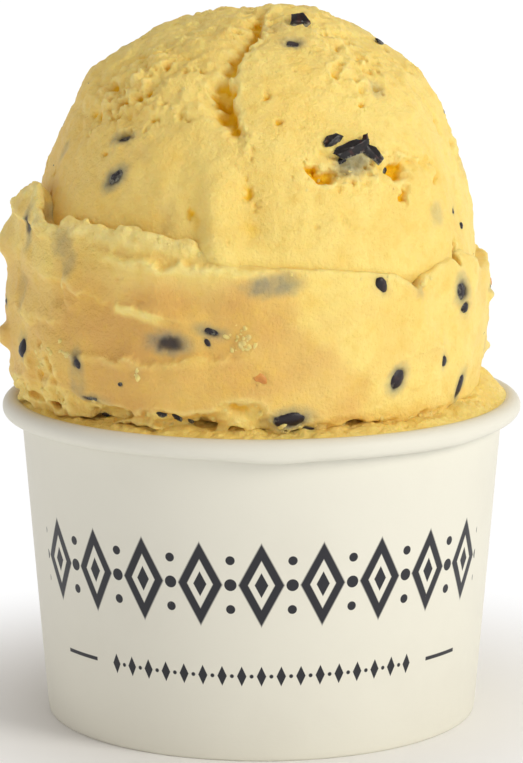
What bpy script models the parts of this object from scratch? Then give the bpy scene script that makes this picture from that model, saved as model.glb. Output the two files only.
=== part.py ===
"""A paper cup heaped with passion-fruit gelato.

The cup stands on Z = 0 with its axis along Z and its front towards -Y. The gelato is three loads of a
spatula: one fills the cup, one is pressed round the top of it, and the last is the dome that sits in it.
"""

import math

import bmesh
import bpy

# Paper cup, in metres
CUP_HEIGHT = 0.0545
RIM_RADIUS = 0.044  # outside of the rolled rim
ROLL_RADIUS = 0.00175  # of the roll's round section
FOOT_RADIUS = 0.0366  # outside of the wall where it stands
PAPER = 0.0005
BOTTOM_HEIGHT = 0.0085  # top face of the raised bottom
HEM_HEIGHT = 0.0065  # how far the wall's lower edge is turned up inside the foot
ROLL_START, ROLL_END = 180, -100  # degrees round the roll's section, from the wall over the top
GAP = 0.0003  # kept free between neighbouring pieces

# Gelato, in metres
TOTAL_HEIGHT = 0.1203
FILL_EDGE = 0.0538  # height of the fill where it meets the wall
FILL_CROWN = 0.0026  # how much higher the fill is at its middle
BAND_CENTRE = -0.0023  # X of the upright axis of the lower load
BAND_RADIUS = 0.0406
BAND_FOOT_RADIUS = 0.0372  # where the lower load leaves the fill
BAND_FOOT_HEIGHT = 0.0052  # height of the curve from that foot out to the full radius
DOME_CENTRE = (-0.0010, 0.0, 0.0800)
DOME_RADIUS = 0.0376
DOME_SEAT = 0.0140  # depth of the dome's underside below its centre
LIP_ROUNDING = 0.0016

# Facets
ROUND_STEPS = 60
FILL_ROWS = 11
BAND_ROWS = 26
DOME_ROWS = 21

CREAM = (0.93, 0.72, 0.36, 1.0)
PAPER_WHITE = (0.86, 0.83, 0.78, 1.0)


def clear_scene():
    for scene_object in list(bpy.data.objects):
        bpy.data.objects.remove(scene_object, do_unlink=True)


def bell(value, centre, width):
    """1 at the centre, falling smoothly to 0 over about two widths."""
    return math.exp(-(((value - centre) / width) ** 2))


def round_bell(azimuth, centre, width):
    """The same for an azimuth in degrees, which comes round again after 360."""
    return bell((azimuth - centre + 180) % 360 - 180, 0, width)


def smooth_step(value, start, end):
    share = min(max((value - start) / (end - start), 0.0), 1.0)
    return share * share * (3 - 2 * share)


def material(name, colour, roughness):
    made = bpy.data.materials.new(name)
    made.use_nodes = True
    shader = made.node_tree.nodes["Principled BSDF"]
    shader.inputs["Base Color"].default_value = colour
    shader.inputs["Roughness"].default_value = roughness
    shader.inputs["Metallic"].default_value = 0.0
    return made


def add_object(name, mesh, collection, surface):
    mesh.materials.append(surface)
    made = bpy.data.objects.new(name, mesh)
    collection.objects.link(made)
    return made


def turned(name, profile, closed, collection, surface):
    """A profile of (radius, height) points turned round the Z axis."""
    mesh = bpy.data.meshes.new(name)
    links = [(i, i + 1) for i in range(len(profile) - 1)]
    if closed:
        links.append((len(profile) - 1, 0))
    mesh.from_pydata([(radius, 0, height) for radius, height in profile], links, [])
    made = add_object(name, mesh, collection, surface)
    screw = made.modifiers.new("Turn", "SCREW")
    screw.axis = "Z"
    screw.angle = math.tau
    screw.steps = screw.render_steps = ROUND_STEPS
    screw.use_merge_vertices = True
    screw.merge_threshold = 0.00001
    screw.use_smooth_shade = True
    return made


def blob(name, rows, place, collection, surface):
    """A ball whose point at each azimuth and row is moved to where place(azimuth, row) puts it."""
    shape = bmesh.new()
    bmesh.ops.create_uvsphere(shape, u_segments=ROUND_STEPS, v_segments=rows, radius=1)
    for vertex in shape.verts:
        x, y, z = vertex.co
        azimuth = math.degrees(math.atan2(x, -y))
        row = round((math.asin(max(-1.0, min(1.0, z))) / math.pi + 0.5) * rows)
        vertex.co = place(azimuth, row)
    bmesh.ops.recalc_face_normals(shape, faces=shape.faces)
    mesh = bpy.data.meshes.new(name)
    shape.to_mesh(mesh)
    shape.free()
    mesh.shade_smooth()
    return add_object(name, mesh, collection, surface)


def polar(radius, azimuth, height, centre_x=0.0):
    """The point at this azimuth: 0 is the front (-Y), 90 the right (+X)."""
    angle = math.radians(azimuth)
    return (centre_x + radius * math.sin(angle), -radius * math.cos(angle), height)


# The cup


def roll_centre():
    return RIM_RADIUS - ROLL_RADIUS, CUP_HEIGHT - ROLL_RADIUS


def wall_radius(height, depth=0.0):
    """Radius of the sloping wall at this height, this deep below its outer face."""
    centre, top = roll_centre()
    neck_radius = centre - ROLL_RADIUS + PAPER
    return FOOT_RADIUS + (neck_radius - FOOT_RADIUS) * height / top - depth


def roll_arc(radius, start, end, count):
    centre, height = roll_centre()
    for i in range(count + 1):
        angle = math.radians(start + (end - start) * i / count)
        yield centre + radius * math.cos(angle), height + radius * math.sin(angle)


def wall_profile():
    """The wall's section, clockwise: over the roll and back inside it, down the wall, round the hem and up."""
    hem = PAPER + 2 * GAP + PAPER  # from the wall's outer face to the hem's outer face
    fold = 2 * PAPER + PAPER + 2 * GAP  # full width of the folded foot
    corner = 0.0003
    points = list(roll_arc(ROLL_RADIUS, ROLL_START, ROLL_END, 11))
    points += roll_arc(ROLL_RADIUS - PAPER, ROLL_END, ROLL_START - 12, 6)
    points += [(wall_radius(z), z) for z in (0.036, 0.018, corner)]
    points += [(FOOT_RADIUS - corner, 0), (FOOT_RADIUS - fold + corner, 0)]
    points += [(wall_radius(z, fold), z) for z in (corner, HEM_HEIGHT)]
    points += [(wall_radius(z, hem), z) for z in (HEM_HEIGHT, PAPER)]
    points += [(wall_radius(z, PAPER), z) for z in (PAPER, 0.018, 0.036)]
    return points


def bottom_profile():
    """A raised disc with a flange that goes down between the wall and its hem."""
    outer, inner = PAPER + GAP, PAPER + GAP + PAPER
    corner = 0.0004
    low, under = PAPER + GAP, BOTTOM_HEIGHT - PAPER
    return [
        (0, BOTTOM_HEIGHT),
        (wall_radius(BOTTOM_HEIGHT, outer) - corner, BOTTOM_HEIGHT),
        (wall_radius(BOTTOM_HEIGHT - corner, outer), BOTTOM_HEIGHT - corner),
        (wall_radius(low, outer), low),
        (wall_radius(low, inner), low),
        (wall_radius(under, inner), under),
        (0, under),
    ]


# The gelato


def fill_top(radius):
    """Height of the fill at this distance from the cup's axis."""
    edge = wall_radius(FILL_EDGE, PAPER + GAP)
    return FILL_EDGE + FILL_CROWN * (1 - (radius / edge) ** 4)


def place_fill(azimuth, row):
    """Up from the middle of the underside: across it, up the wall, and back over the crown."""
    floor = BOTTOM_HEIGHT + GAP
    side_rows, first_side = 4, 2
    last_side = first_side + side_rows
    if row <= first_side:
        radius = wall_radius(floor, PAPER + GAP) * row / first_side
        return polar(radius, azimuth, floor)
    if row <= last_side:
        height = floor + (FILL_EDGE - floor) * (row - first_side) / side_rows
        return polar(wall_radius(height, PAPER + GAP), azimuth, height)
    share = (FILL_ROWS - row) / (FILL_ROWS - last_side)
    radius = wall_radius(FILL_EDGE, PAPER + GAP) * share
    return polar(radius, azimuth, fill_top(radius))


def lip_height(azimuth):
    """Height of the lower load's upper edge: high at the left, low at the right, with a notch before a lump."""
    height = 0.0805
    height += 0.0100 * round_bell(azimuth, -62, 30)
    height += 0.0032 * round_bell(azimuth, -18, 16)
    height -= 0.0040 * round_bell(azimuth, 44, 8)
    height += 0.0015 * round_bell(azimuth, 60, 9)
    height -= 0.0035 * round_bell(azimuth, 88, 18)
    height += 0.0030 * round_bell(azimuth, 165, 26)
    return height


def dome_point(azimuth, angle, swell=0.0):
    """A point of the dome's egg: angle runs from -90 degrees at its seat to 90 at its crown."""
    centre_x, _, centre_z = DOME_CENTRE
    rise = TOTAL_HEIGHT - centre_z
    tilt = math.radians(angle)
    radius = DOME_RADIUS
    radius += 0.0010 * round_bell(azimuth, 5, 45)
    radius -= 0.0014 * round_bell(azimuth, 90, 35) * smooth_step(angle, -5, 20)
    side = math.cos(tilt) ** (0.94 if angle > 0 else 0.7) if abs(angle) < 89.9 else 0.0
    height = centre_z + (rise if angle > 0 else DOME_SEAT) * math.sin(tilt)
    relief = dome_relief(azimuth, height) * (1 - smooth_step(angle, 60, 88)) if angle > 0 else 0.0
    outward = swell + relief
    return polar((radius + outward) * side, azimuth, height + outward * math.sin(tilt), centre_x)


def dome_relief(azimuth, height):
    """The slab smeared over the dome's right half, which ends in a crease, and the torn flap on it."""
    crease = -8 - 900 * (height - 0.108)
    slab = 0.0012 * smooth_step(azimuth, crease, crease + 8) * (1 - smooth_step(azimuth, 95, 150))
    slab *= smooth_step(height, 0.088, 0.100)
    groove = 0.0016 * round_bell(azimuth, crease, 5) * bell(height, 0.108, 0.008)
    flap = 0.0014 * round_bell(azimuth, 42, 14) * bell(height, 0.0975, 0.0025)
    return slab - groove + flap


def band_radius(azimuth, height):
    """Radius of the lower load's outer side, with its terraces, worn in at the foot."""
    rise = min(max((height - FILL_EDGE) / BAND_FOOT_HEIGHT, 0.0), 1.0)
    radius = BAND_FOOT_RADIUS + (BAND_RADIUS - BAND_FOOT_RADIUS) * math.sin(rise * math.pi / 2)
    left = round_bell(azimuth, -80, 45)
    radius += 0.0011 * left * bell(height, 0.0800, 0.0040)
    radius += 0.0009 * left * bell(height, 0.0650, 0.0025)
    radius += 0.0008 * round_bell(azimuth, 80, 30) * bell(height, 0.0700, 0.0060)
    front_left = round_bell(azimuth, -32, 20)
    radius -= 0.0010 * front_left * smooth_step(height, 0.0745, 0.0765)
    radius += 0.0008 * front_left * smooth_step(height, 0.0665, 0.0650)
    radius += 0.0005 * round_bell(azimuth, 150, 50) * bell(height, 0.0720, 0.0080)
    return radius


def place_band(azimuth, row):
    """From the middle of the underside out over the fill, up the outer side, over the lip and down the seat."""
    last_under, last_side, last_lip = 6, 15, 18
    lip = lip_height(azimuth)
    rim_angle = math.degrees(math.asin((lip - DOME_CENTRE[2]) / (TOTAL_HEIGHT - DOME_CENTRE[2])))
    if row <= last_under:
        x, y, _ = polar(BAND_FOOT_RADIUS * row / last_under, azimuth, 0, BAND_CENTRE)
        return (x, y, fill_top(math.hypot(x, y)) + GAP)
    x, y, _ = polar(BAND_FOOT_RADIUS, azimuth, 0, BAND_CENTRE)
    foot = fill_top(math.hypot(x, y)) + GAP
    shoulder = lip - LIP_ROUNDING
    if row <= last_side:
        height = foot + (shoulder - foot) * (row - last_under) / (last_side - last_under)
        return polar(band_radius(azimuth, height), azimuth, height, BAND_CENTRE)
    if row <= last_lip:
        outer = polar(band_radius(azimuth, shoulder), azimuth, shoulder, BAND_CENTRE)
        inner = dome_point(azimuth, rim_angle - 3, GAP)
        share = (row - last_side) / (last_lip - last_side + 1)
        rise = LIP_ROUNDING * math.sin(share * math.pi) ** 0.6
        flat = [a + (b - a) * share for a, b in zip(outer, inner)]
        return (flat[0], flat[1], flat[2] + rise)
    share = (row - last_lip - 1) / (BAND_ROWS - last_lip - 1)
    return dome_point(azimuth, (rim_angle - 3) * (1 - share) - 90 * share, GAP)


def place_dome(azimuth, row):
    return dome_point(azimuth, -90 + 180 * row / DOME_ROWS)


def main():
    clear_scene()
    collection = bpy.data.collections.new("gelato_cup")
    bpy.context.scene.collection.children.link(collection)
    turned("cup_wall", wall_profile(), True, collection, material("wall_paper", PAPER_WHITE, 0.55))
    turned("cup_bottom", bottom_profile(), False, collection, material("bottom_paper", PAPER_WHITE, 0.6))
    blob("gelato_fill", FILL_ROWS, place_fill, collection, material("fill_gelato", CREAM, 0.5))
    blob("scoop_lower", BAND_ROWS, place_band, collection, material("lower_gelato", CREAM, 0.5))
    blob("scoop_upper", DOME_ROWS, place_dome, collection, material("upper_gelato", CREAM, 0.5))


main()
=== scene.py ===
import itertools
import math

import bmesh
import bpy
import numpy as np
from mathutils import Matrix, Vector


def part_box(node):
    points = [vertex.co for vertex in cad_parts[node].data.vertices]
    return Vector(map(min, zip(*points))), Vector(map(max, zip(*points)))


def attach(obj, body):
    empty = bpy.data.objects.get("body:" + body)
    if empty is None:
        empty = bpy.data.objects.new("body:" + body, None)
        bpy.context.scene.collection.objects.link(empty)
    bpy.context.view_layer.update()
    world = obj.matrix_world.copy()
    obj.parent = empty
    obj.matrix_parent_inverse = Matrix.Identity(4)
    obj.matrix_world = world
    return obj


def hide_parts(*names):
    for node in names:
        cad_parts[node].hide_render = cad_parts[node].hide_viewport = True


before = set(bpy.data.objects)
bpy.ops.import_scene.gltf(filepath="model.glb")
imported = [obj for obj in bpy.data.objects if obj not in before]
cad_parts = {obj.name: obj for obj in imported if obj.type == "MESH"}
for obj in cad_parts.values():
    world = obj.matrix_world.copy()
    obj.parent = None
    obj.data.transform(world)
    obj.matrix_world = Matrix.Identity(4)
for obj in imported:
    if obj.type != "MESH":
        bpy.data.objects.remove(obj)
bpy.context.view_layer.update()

import openvdb
from mathutils import Matrix, Vector
from mathutils.bvhtree import BVHTree

# The gelato is sculpted in millimetres and everything is written in metres.
# Azimuth is in degrees round the cup: 0 is the front (-Y), 90 the right (+X).
mm = 0.001


# Small tools

def bell(value, centre, width):
    return np.exp(-(((value - centre) / width) ** 2))


def turnFrom(azimuth, centre):
    return (azimuth - centre + 180) % 360 - 180


def roundBell(azimuth, centre, width):
    return bell(turnFrom(azimuth, centre), 0, width)


def ease(value, start, end):
    share = np.clip((value - start) / (end - start), 0, 1)
    return share * share * (3 - 2 * share)


def softMax(a, b, reach):
    overlap = np.maximum(reach - np.abs(a - b), 0) / reach
    return np.maximum(a, b) + overlap * overlap * reach / 4


def softMin(a, b, reach):
    return -softMax(-a, -b, reach)


def alongPath(value, path):
    # a value read from a short list of (where, value) pairs
    places, values = zip(*sorted(path))
    return np.interp(value, places, values).astype(np.float32)


def roundPath(azimuth, path):
    # the same, for a list that goes round the cup
    places, values = zip(*sorted(path))
    return np.interp(azimuth, places, values, period=360).astype(np.float32)


# the corners of a unit cube
cubeCorners = np.array(list(itertools.product((0, 1), repeat=3)), np.int32)


def gradientNoise(points, size, seed):
    # Perlin noise at any points
    random = np.random.default_rng(seed)
    tableSize = 32
    table = random.normal(size=(tableSize, tableSize, tableSize, 3)).astype(np.float32)
    table /= np.linalg.norm(table, axis=3, keepdims=True)
    where = points.astype(np.float32) / size
    cell = np.floor(where).astype(np.int32)
    f = where - cell
    smooth = f * f * f * (f * (f * 6 - 15) + 10)
    total = np.zeros(len(points), np.float32)
    for offset in cubeCorners:
        i, j, k = ((cell + offset) % tableSize).T
        slope = np.einsum("ij,ij->i", f - offset, table[i, j, k])
        share = np.where(offset, smooth, 1 - smooth)
        total += slope * share[:, 0] * share[:, 1] * share[:, 2]
    return total


def addObject(name, data):
    made = bpy.data.objects.new(name, data)
    bpy.context.scene.collection.objects.link(made)
    return made


def addMesh(name, points, faces):
    mesh = bpy.data.meshes.new(name)
    mesh.from_pydata(points, [], faces)
    mesh.shade_smooth()
    return addObject(name, mesh)


def ringFaces(first, second, count):
    # quads from one ring of points to the next
    return [(first + i, second + i, second + (i + 1) % count, first + (i + 1) % count) for i in range(count)]


def marked(made, **values):
    # gives each point of a piece the values that its finish reads
    for label, value in values.items():
        attribute = made.data.attributes.new(label, "FLOAT", "POINT")
        value = np.broadcast_to(value, len(made.data.vertices)).astype(np.float32)
        attribute.data.foreach_set("value", value)


# Shader maths: arithmetic on a Wire adds Math nodes

class Wire:
    def __init__(self, paint, socket):
        self.paint = paint
        self.socket = socket

    def maths(self, operation, first, second):
        return self.paint.add("ShaderNodeMath", {"operation": operation}, {0: first, 1: second})

    def __add__(self, other):
        return self.maths("ADD", self, other)

    def __sub__(self, other):
        return self.maths("SUBTRACT", self, other)

    def __rsub__(self, other):
        return self.maths("SUBTRACT", other, self)

    def __mul__(self, other):
        return self.maths("MULTIPLY", self, other)

    def __truediv__(self, other):
        return self.maths("DIVIDE", self, other)

    def __mod__(self, other):
        return self.maths("FLOORED_MODULO", self, other)

    __radd__ = __add__
    __rmul__ = __mul__

    def absolute(self):
        return self.maths("ABSOLUTE", self, 0)

    def least(self, other):
        return self.maths("MINIMUM", self, other)

    def angle(self, other):
        return self.maths("ARCTAN2", self, other)

    def ramp(self, start, end):
        # 0 at start, 1 at end, eased between
        sockets = {"Value": self, "From Min": start, "From Max": end}
        return self.paint.add("ShaderNodeMapRange", {"interpolation_type": "SMOOTHSTEP"}, sockets)


class Paint:
    # a material with one Principled shader
    def __init__(self, name, constants):
        self.material = bpy.data.materials.new(name)
        self.material.use_nodes = True
        self.tree = self.material.node_tree
        self.shader = self.tree.nodes["Principled BSDF"]
        for socket, value in constants.items():
            self.shader.inputs[socket].default_value = value

    def add(self, kind, settings, sockets, output=0):
        node = self.tree.nodes.new(kind)
        for setting, value in settings.items():
            setattr(node, setting, value)
        for socket, value in sockets.items():
            self.feed(node.inputs[socket], value)
        return Wire(self, node.outputs[output])

    def feed(self, socket, value):
        if isinstance(value, Wire):
            self.tree.links.new(value.socket, socket)
        else:
            socket.default_value = value

    def mix(self, share, first, second):
        # one colour turned into another
        return self.add("ShaderNodeMix", {"data_type": "RGBA"}, {0: share, 6: first, 7: second}, 2)

    def attribute(self, name):
        return self.add("ShaderNodeAttribute", {"attribute_name": name}, {}, "Fac")

    def place(self):
        # the point on the object, in metres
        return self.add("ShaderNodeTexCoord", {}, {}, "Object")

    def axis(self, name):
        return self.add("ShaderNodeSeparateXYZ", {}, {0: self.place()}, name)

    def noise(self, size, detail=3.0, roughness=0.5, stretch=None):
        # 0 to 1, with features of about this size in metres
        where = self.place()
        if stretch:
            where = self.add("ShaderNodeVectorMath", {"operation": "MULTIPLY"}, {0: where, 1: stretch})
        sockets = {"Vector": where, "Scale": 1 / size, "Detail": detail, "Roughness": roughness}
        return self.add("ShaderNodeTexNoise", {}, sockets, "Fac")

    def bump(self, height, distance, strength=1.0, normal=None):
        sockets = {"Height": height, "Distance": distance, "Strength": strength}
        if normal:
            sockets["Normal"] = normal
        return self.add("ShaderNodeBump", {}, sockets, "Normal")

    def finish(self, sockets):
        for socket, value in sockets.items():
            self.feed(self.shader.inputs[socket], value)
        return self.material


def shade(red, green, blue):
    # a colour given as it looks on a screen, 0 to 255, turned into the light values that a shader takes
    parts = [part / 255 for part in (red, green, blue)]
    return tuple(p / 12.92 if p < 0.04045 else ((p + 0.055) / 1.055) ** 2.4 for p in parts) + (1.0,)


# Sculpting in a block of points: a field holds each point's distance to the surface, negative inside

class Block:
    def __init__(self, low, high, step, seed):
        self.low = np.array(low, np.float32)
        self.step = step
        self.counts = [int(math.ceil((b - a) / step)) + 1 for a, b in zip(low, high)]
        axes = [self.low[i] + step * np.arange(self.counts[i], dtype=np.float32) for i in range(3)]
        self.x, self.y, self.z = np.meshgrid(*axes, indexing="ij")
        self.random = np.random.default_rng(seed)

    def noise(self, size):
        # smooth noise with lumps of about this size, spread evenly about 0 with a deviation of 1
        weights, lattice = [], []
        for count in self.counts:
            where = self.step * np.arange(count) / size
            cell = np.floor(where).astype(int)
            f = where - cell
            spline = ((1 - f) ** 3, 3 * f**3 - 6 * f**2 + 4, -3 * f**3 + 3 * f**2 + 3 * f + 1, f**3)
            weight = np.zeros((count, cell[-1] + 4), np.float32)
            for k in range(4):
                weight[np.arange(count), cell + k] = spline[k] / 6
            weights.append(weight)
            lattice.append(cell[-1] + 4)
        field = self.random.uniform(-1, 1, lattice).astype(np.float32)
        for weight in reversed(weights):
            field = np.tensordot(weight, field, (1, 2))
        return field / field.std()

    def near(self, place, reach):
        # the part of the block round a place
        first = ((np.array(place) - reach - self.low) / self.step).astype(int)
        last = ((np.array(place) + reach - self.low) / self.step).astype(int) + 1
        return tuple(slice(max(a, 0), max(b, 1)) for a, b in zip(first, last))

    def blurred(self, field, radius):
        # a box average twice over, on every second point
        field = field[::2, ::2, ::2]
        width = max(int(round(radius / (2 * self.step))), 1)
        span = 2 * width + 1
        for axis in (0, 1, 2, 0, 1, 2):
            count = field.shape[axis]
            ends = [field.take([0] * (width + 1), axis), field, field.take([-1] * width, axis)]
            total = np.cumsum(np.concatenate(ends, axis), axis, dtype=np.float64)
            field = (total.take(range(span, span + count), axis) - total.take(range(count), axis)) / span
        return field

    def sample(self, field, points, step):
        where = np.clip((points - self.low) / step, 0, np.array(field.shape) - 1.001)
        cell = where.astype(int)
        f = where - cell
        total = 0
        for offset in cubeCorners:
            i, j, k = (cell + offset).T
            total = total + np.prod(np.where(offset, f, 1 - f), axis=1) * field[i, j, k]
        return total

    def surface(self, field):
        # the points and quads of the field's zero surface
        reach = 4 * self.step
        grid = openvdb.FloatGrid(background=reach)
        grid.copyFromArray(np.clip(field, -reach, reach).astype(np.float32))
        points, quads = grid.convertToQuads(isovalue=0)
        return points * self.step + self.low, quads[:, ::-1]


class Relief:
    # charts wrapped round a turned surface, with a row for each step down its profile and a column for each
    # step round it
    def __init__(self, centreX, profile, cell, seed):
        radius, height = np.array(profile, float).T
        self.profileReach = np.concatenate([[0], np.cumsum(np.hypot(np.diff(radius), np.diff(height)))])
        self.profileHeight = height
        self.cell = cell
        self.seed = seed
        down = np.arange(0, self.profileReach[-1], cell)
        columns = int(math.tau * radius.max() / cell)
        around = np.linspace(-180, 180, columns, endpoint=False)
        self.azimuth, self.down = (part.astype(np.float32) for part in np.meshgrid(around, down))
        self.radius = np.interp(self.down, self.profileReach, radius).astype(np.float32)
        self.z = np.interp(self.down, self.profileReach, height).astype(np.float32)
        self.x = centreX + self.radius * np.sin(np.radians(self.azimuth))
        self.y = -self.radius * np.cos(np.radians(self.azimuth))
        self.warp = [0.6 * self.noise(1.7) + 0.4 * self.noise(0.8) for _ in range(2)]

    def noise(self, size, squash=1.0):
        # Perlin noise with a deviation of 1, squashed in height if asked
        self.seed += 1
        points = np.stack([self.x, self.y, self.z * squash], -1).reshape(-1, 3)
        values = gradientNoise(points, size, self.seed).reshape(self.x.shape)
        return values / values.std()

    def noises(self, layers):
        # layers of noise, each a size and a strength
        return sum(strength * self.noise(size) for size, strength in layers)

    def reach(self, height):
        return np.interp(-np.asarray(height), -self.profileHeight, self.profileReach)

    def offset(self, azimuth, height, ragged=0.0):
        # distances across and up from a spot
        across = np.radians(turnFrom(self.azimuth, azimuth)) * self.radius
        up = self.reach(height) - self.down
        return across + ragged * self.warp[0], up + ragged * self.warp[1]

    def oval(self, azimuth, height, wide, high, turn=0.0, ragged=0.0):
        # 0 at a spot and 1 on the oval round it, turned anticlockwise from level
        across, up = self.offset(azimuth, height, ragged)
        c, s = math.cos(math.radians(turn)), math.sin(math.radians(turn))
        return np.hypot((across * c + up * s) * 2 / wide, (up * c - across * s) * 2 / high)

    def line(self, path, ragged=0.0):
        # distance from a line through spots, positive on its left, and the share of the line passed by then
        nearest = np.full(self.x.shape, 99, np.float32)
        share = np.zeros(self.x.shape, np.float32)
        for i, ((fromTurn, fromHeight), (toTurn, toHeight)) in enumerate(zip(path, path[1:])):
            across, up = self.offset(fromTurn, fromHeight, ragged)
            runAcross = math.radians(toTurn - fromTurn) * self.radius
            runUp = self.reach(fromHeight) - self.reach(toHeight)
            along = (across * runAcross + up * runUp) / (runAcross**2 + runUp**2)
            along = np.clip(along, 0, 1)
            gap = np.hypot(across - along * runAcross, up - along * runUp)
            side = np.where(up * runAcross - across * runUp > 0, 1, -1)
            closer = gap < np.abs(nearest)
            nearest = np.where(closer, gap * side, nearest)
            share = np.where(closer, (i + along) / (len(path) - 1), share)
        return nearest, share

    def lump(self, turn, height, wide, high, lean, rise, level, end, ragged=0.0):
        # a lump, or a dent if its rise is below 0
        away = self.oval(turn, height, wide, high, lean, ragged)
        return rise * (1 - ease(away, level, end))

    def ridge(self, path, high, widths, starts, ends, ragged=0.0):
        # a ridge along a line, with a width on its left and one on its right, that fades in and out
        away, share = self.line(path, ragged)
        fade = 1 - ease(share, ends, 1) if ends < 1 else 1
        return high * bell(away, 0, np.where(away > 0, *widths)) * ease(share, 0, starts) * fade

    def patch(self, turn, height, wide, high, strength=1.0):
        # a soft patch round a spot, with its width in degrees
        return strength * roundBell(self.azimuth, turn, wide) * bell(self.z, height, high)

    def lift(self, field, rise, azimuth, height, reach=5):
        # raises a field's surface by a chart, where the surface is near
        near = np.abs(field) < reach
        field[near] -= self.sample(rise, azimuth[near], height[near])

    def sample(self, chart, azimuth, height):
        rows, columns = chart.shape
        row = np.clip(self.reach(height) / self.cell, 0, rows - 1.001)
        column = (azimuth + 180) / 360 * columns % columns
        top, left = row.astype(np.int32), column.astype(np.int32)
        f, g = (row - top).astype(np.float32), (column - left).astype(np.float32)
        left = left % columns
        right = (left + 1) % columns
        upper = chart[top, left] * (1 - g) + chart[top, right] * g
        lower = chart[top + 1, left] * (1 - g) + chart[top + 1, right] * g
        return upper * (1 - f) + lower * f


def largestPart(points, faces):
    # drops the loose specks that noise can leave beside a sculpted mass
    label = np.arange(len(points))
    while True:
        lowest = label[faces].min(axis=1)
        before = label.copy()
        np.minimum.at(label, faces.ravel(), np.repeat(lowest, faces.shape[1]))
        label = label[label]
        if (label == before).all():
            break
    keep = label == np.bincount(label).argmax()
    index = np.cumsum(keep) - 1
    return points[keep], index[faces[keep[faces[:, 0]]]]


def slim(made, most):
    # fewer triangles, taken mainly where the surface is even
    triangles = 2 * len(made.data.polygons)
    modifier = made.modifiers.new("slim", "DECIMATE")
    modifier.ratio = min(1.0, most / triangles)
    graph = bpy.context.evaluated_depsgraph_get()
    mesh = bpy.data.meshes.new_from_object(made.evaluated_get(graph))
    made.modifiers.clear()
    made.data = mesh
    mesh.shade_smooth()


# Camera, light and floor

studio = {
    "cameraDistance": 0.583,  # in front of the cup's axis
    "cameraHeight": 0.1617,
    "cameraTilt": 10.26,  # degrees down
    "lens": 164.5,
    "aim": (0, 0, 0.06),  # what the lights point at
    "lights": [  # name, place, size, power, colour
        ("keyLight", (0.74, -0.52, 0.50), 0.45, 5.0, (1.0, 0.98, 0.91)),
        ("fillLight", (-0.70, -0.70, 0.30), 0.90, 0.2, (1.0, 0.78, 0.72)),
        ("topLight", (0.05, 0.10, 0.95), 0.70, 1.6, (1.0, 0.98, 0.94)),
    ],
    "world": (1.0, 0.93, 0.89),
    "worldStrength": 0.31,
    "floor": (250, 249, 247),
    "floorGlow": (0.036, 0.10),  # the floor brightens to white between these distances from the cup
    "floorRings": (0, 0.1, 0.25, 0.5, 1.0, 2.0),
    "backdropCurve": 0.5,
    "backdropHeight": 0.9,
}
black, white = (0.0, 0.0, 0.0, 1.0), (1.0, 1.0, 1.0, 1.0)


def addLight(name, place, size, power, colour, target):
    light = bpy.data.lights.new(name, "AREA")
    light.shape = "DISK"
    light.size = size
    light.energy = power
    light.color = colour
    made = addObject(name, light)
    made.location = place
    made.rotation_euler = (Vector(target) - Vector(place)).to_track_quat("-Z", "Y").to_euler()


def setStudio(look):
    camera = bpy.data.cameras.new("camera")
    camera.lens = look["lens"]
    camera.sensor_width = 36
    camera.clip_start = 0.01
    made = addObject("camera", camera)
    made.location = (0, -look["cameraDistance"], look["cameraHeight"])
    made.rotation_euler = (math.radians(90 - look["cameraTilt"]), 0, 0)
    bpy.context.scene.camera = made
    for light in look["lights"]:
        addLight(*light, look["aim"])
    world = bpy.data.worlds.new("softWorld")
    world.use_nodes = True
    background = world.node_tree.nodes["Background"]
    background.inputs["Color"].default_value = look["world"] + (1.0,)
    background.inputs["Strength"].default_value = look["worldStrength"]
    bpy.context.scene.world = world
    bpy.context.scene.view_settings.view_transform = "Standard"


def addFloor(look):
    # a round floor that curves up into a low backdrop on every side
    outline = [(radius, 0) for radius in look["floorRings"]]
    edge, curve, steps = look["floorRings"][-1], look["backdropCurve"], 10
    for i in range(1, steps + 1):
        angle = math.pi / 2 * i / steps
        outline.append((edge + curve * math.sin(angle), curve * (1 - math.cos(angle))))
    outline.append((edge + curve, look["backdropHeight"]))
    count = 96
    points = [(0, 0, 0)]
    for radius, height in outline[1:]:
        for i in range(count):
            angle = math.tau * i / count
            points.append((radius * math.cos(angle), radius * math.sin(angle), height))
    faces = [(0, 1 + i, 1 + (i + 1) % count) for i in range(count)]
    for ring in range(len(outline) - 2):
        faces += ringFaces(1 + ring * count, 1 + (ring + 1) * count, count)
    floor = addMesh("floor", points, faces)
    paint = Paint("floorPaint", {"Roughness": 0.9, "Specular IOR Level": 0.2, "Emission Strength": 1.0})
    distance = paint.add("ShaderNodeVectorMath", {"operation": "LENGTH"}, {0: paint.place()}, "Value")
    glow = distance.ramp(*look["floorGlow"])
    pale = shade(*look["floor"])
    mottle = paint.noise(0.35, 2).ramp(0.3, 0.7)
    colour = paint.mix(mottle * 0.3, pale, tuple(part * 0.97 for part in pale[:3]) + (1.0,))
    floor.data.materials.append(paint.finish({
        "Base Color": paint.mix(glow, colour, black),
        "Emission Color": paint.mix(glow, black, white),
    }))


setStudio(studio)
addFloor(studio)
print("studio set")

# What is stirred into the gelato. Each row: azimuth, height, length, width, turn from level,
# how far it shows (0 sunk under the cream, 1 lying on it), strength of the grey round it

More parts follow.
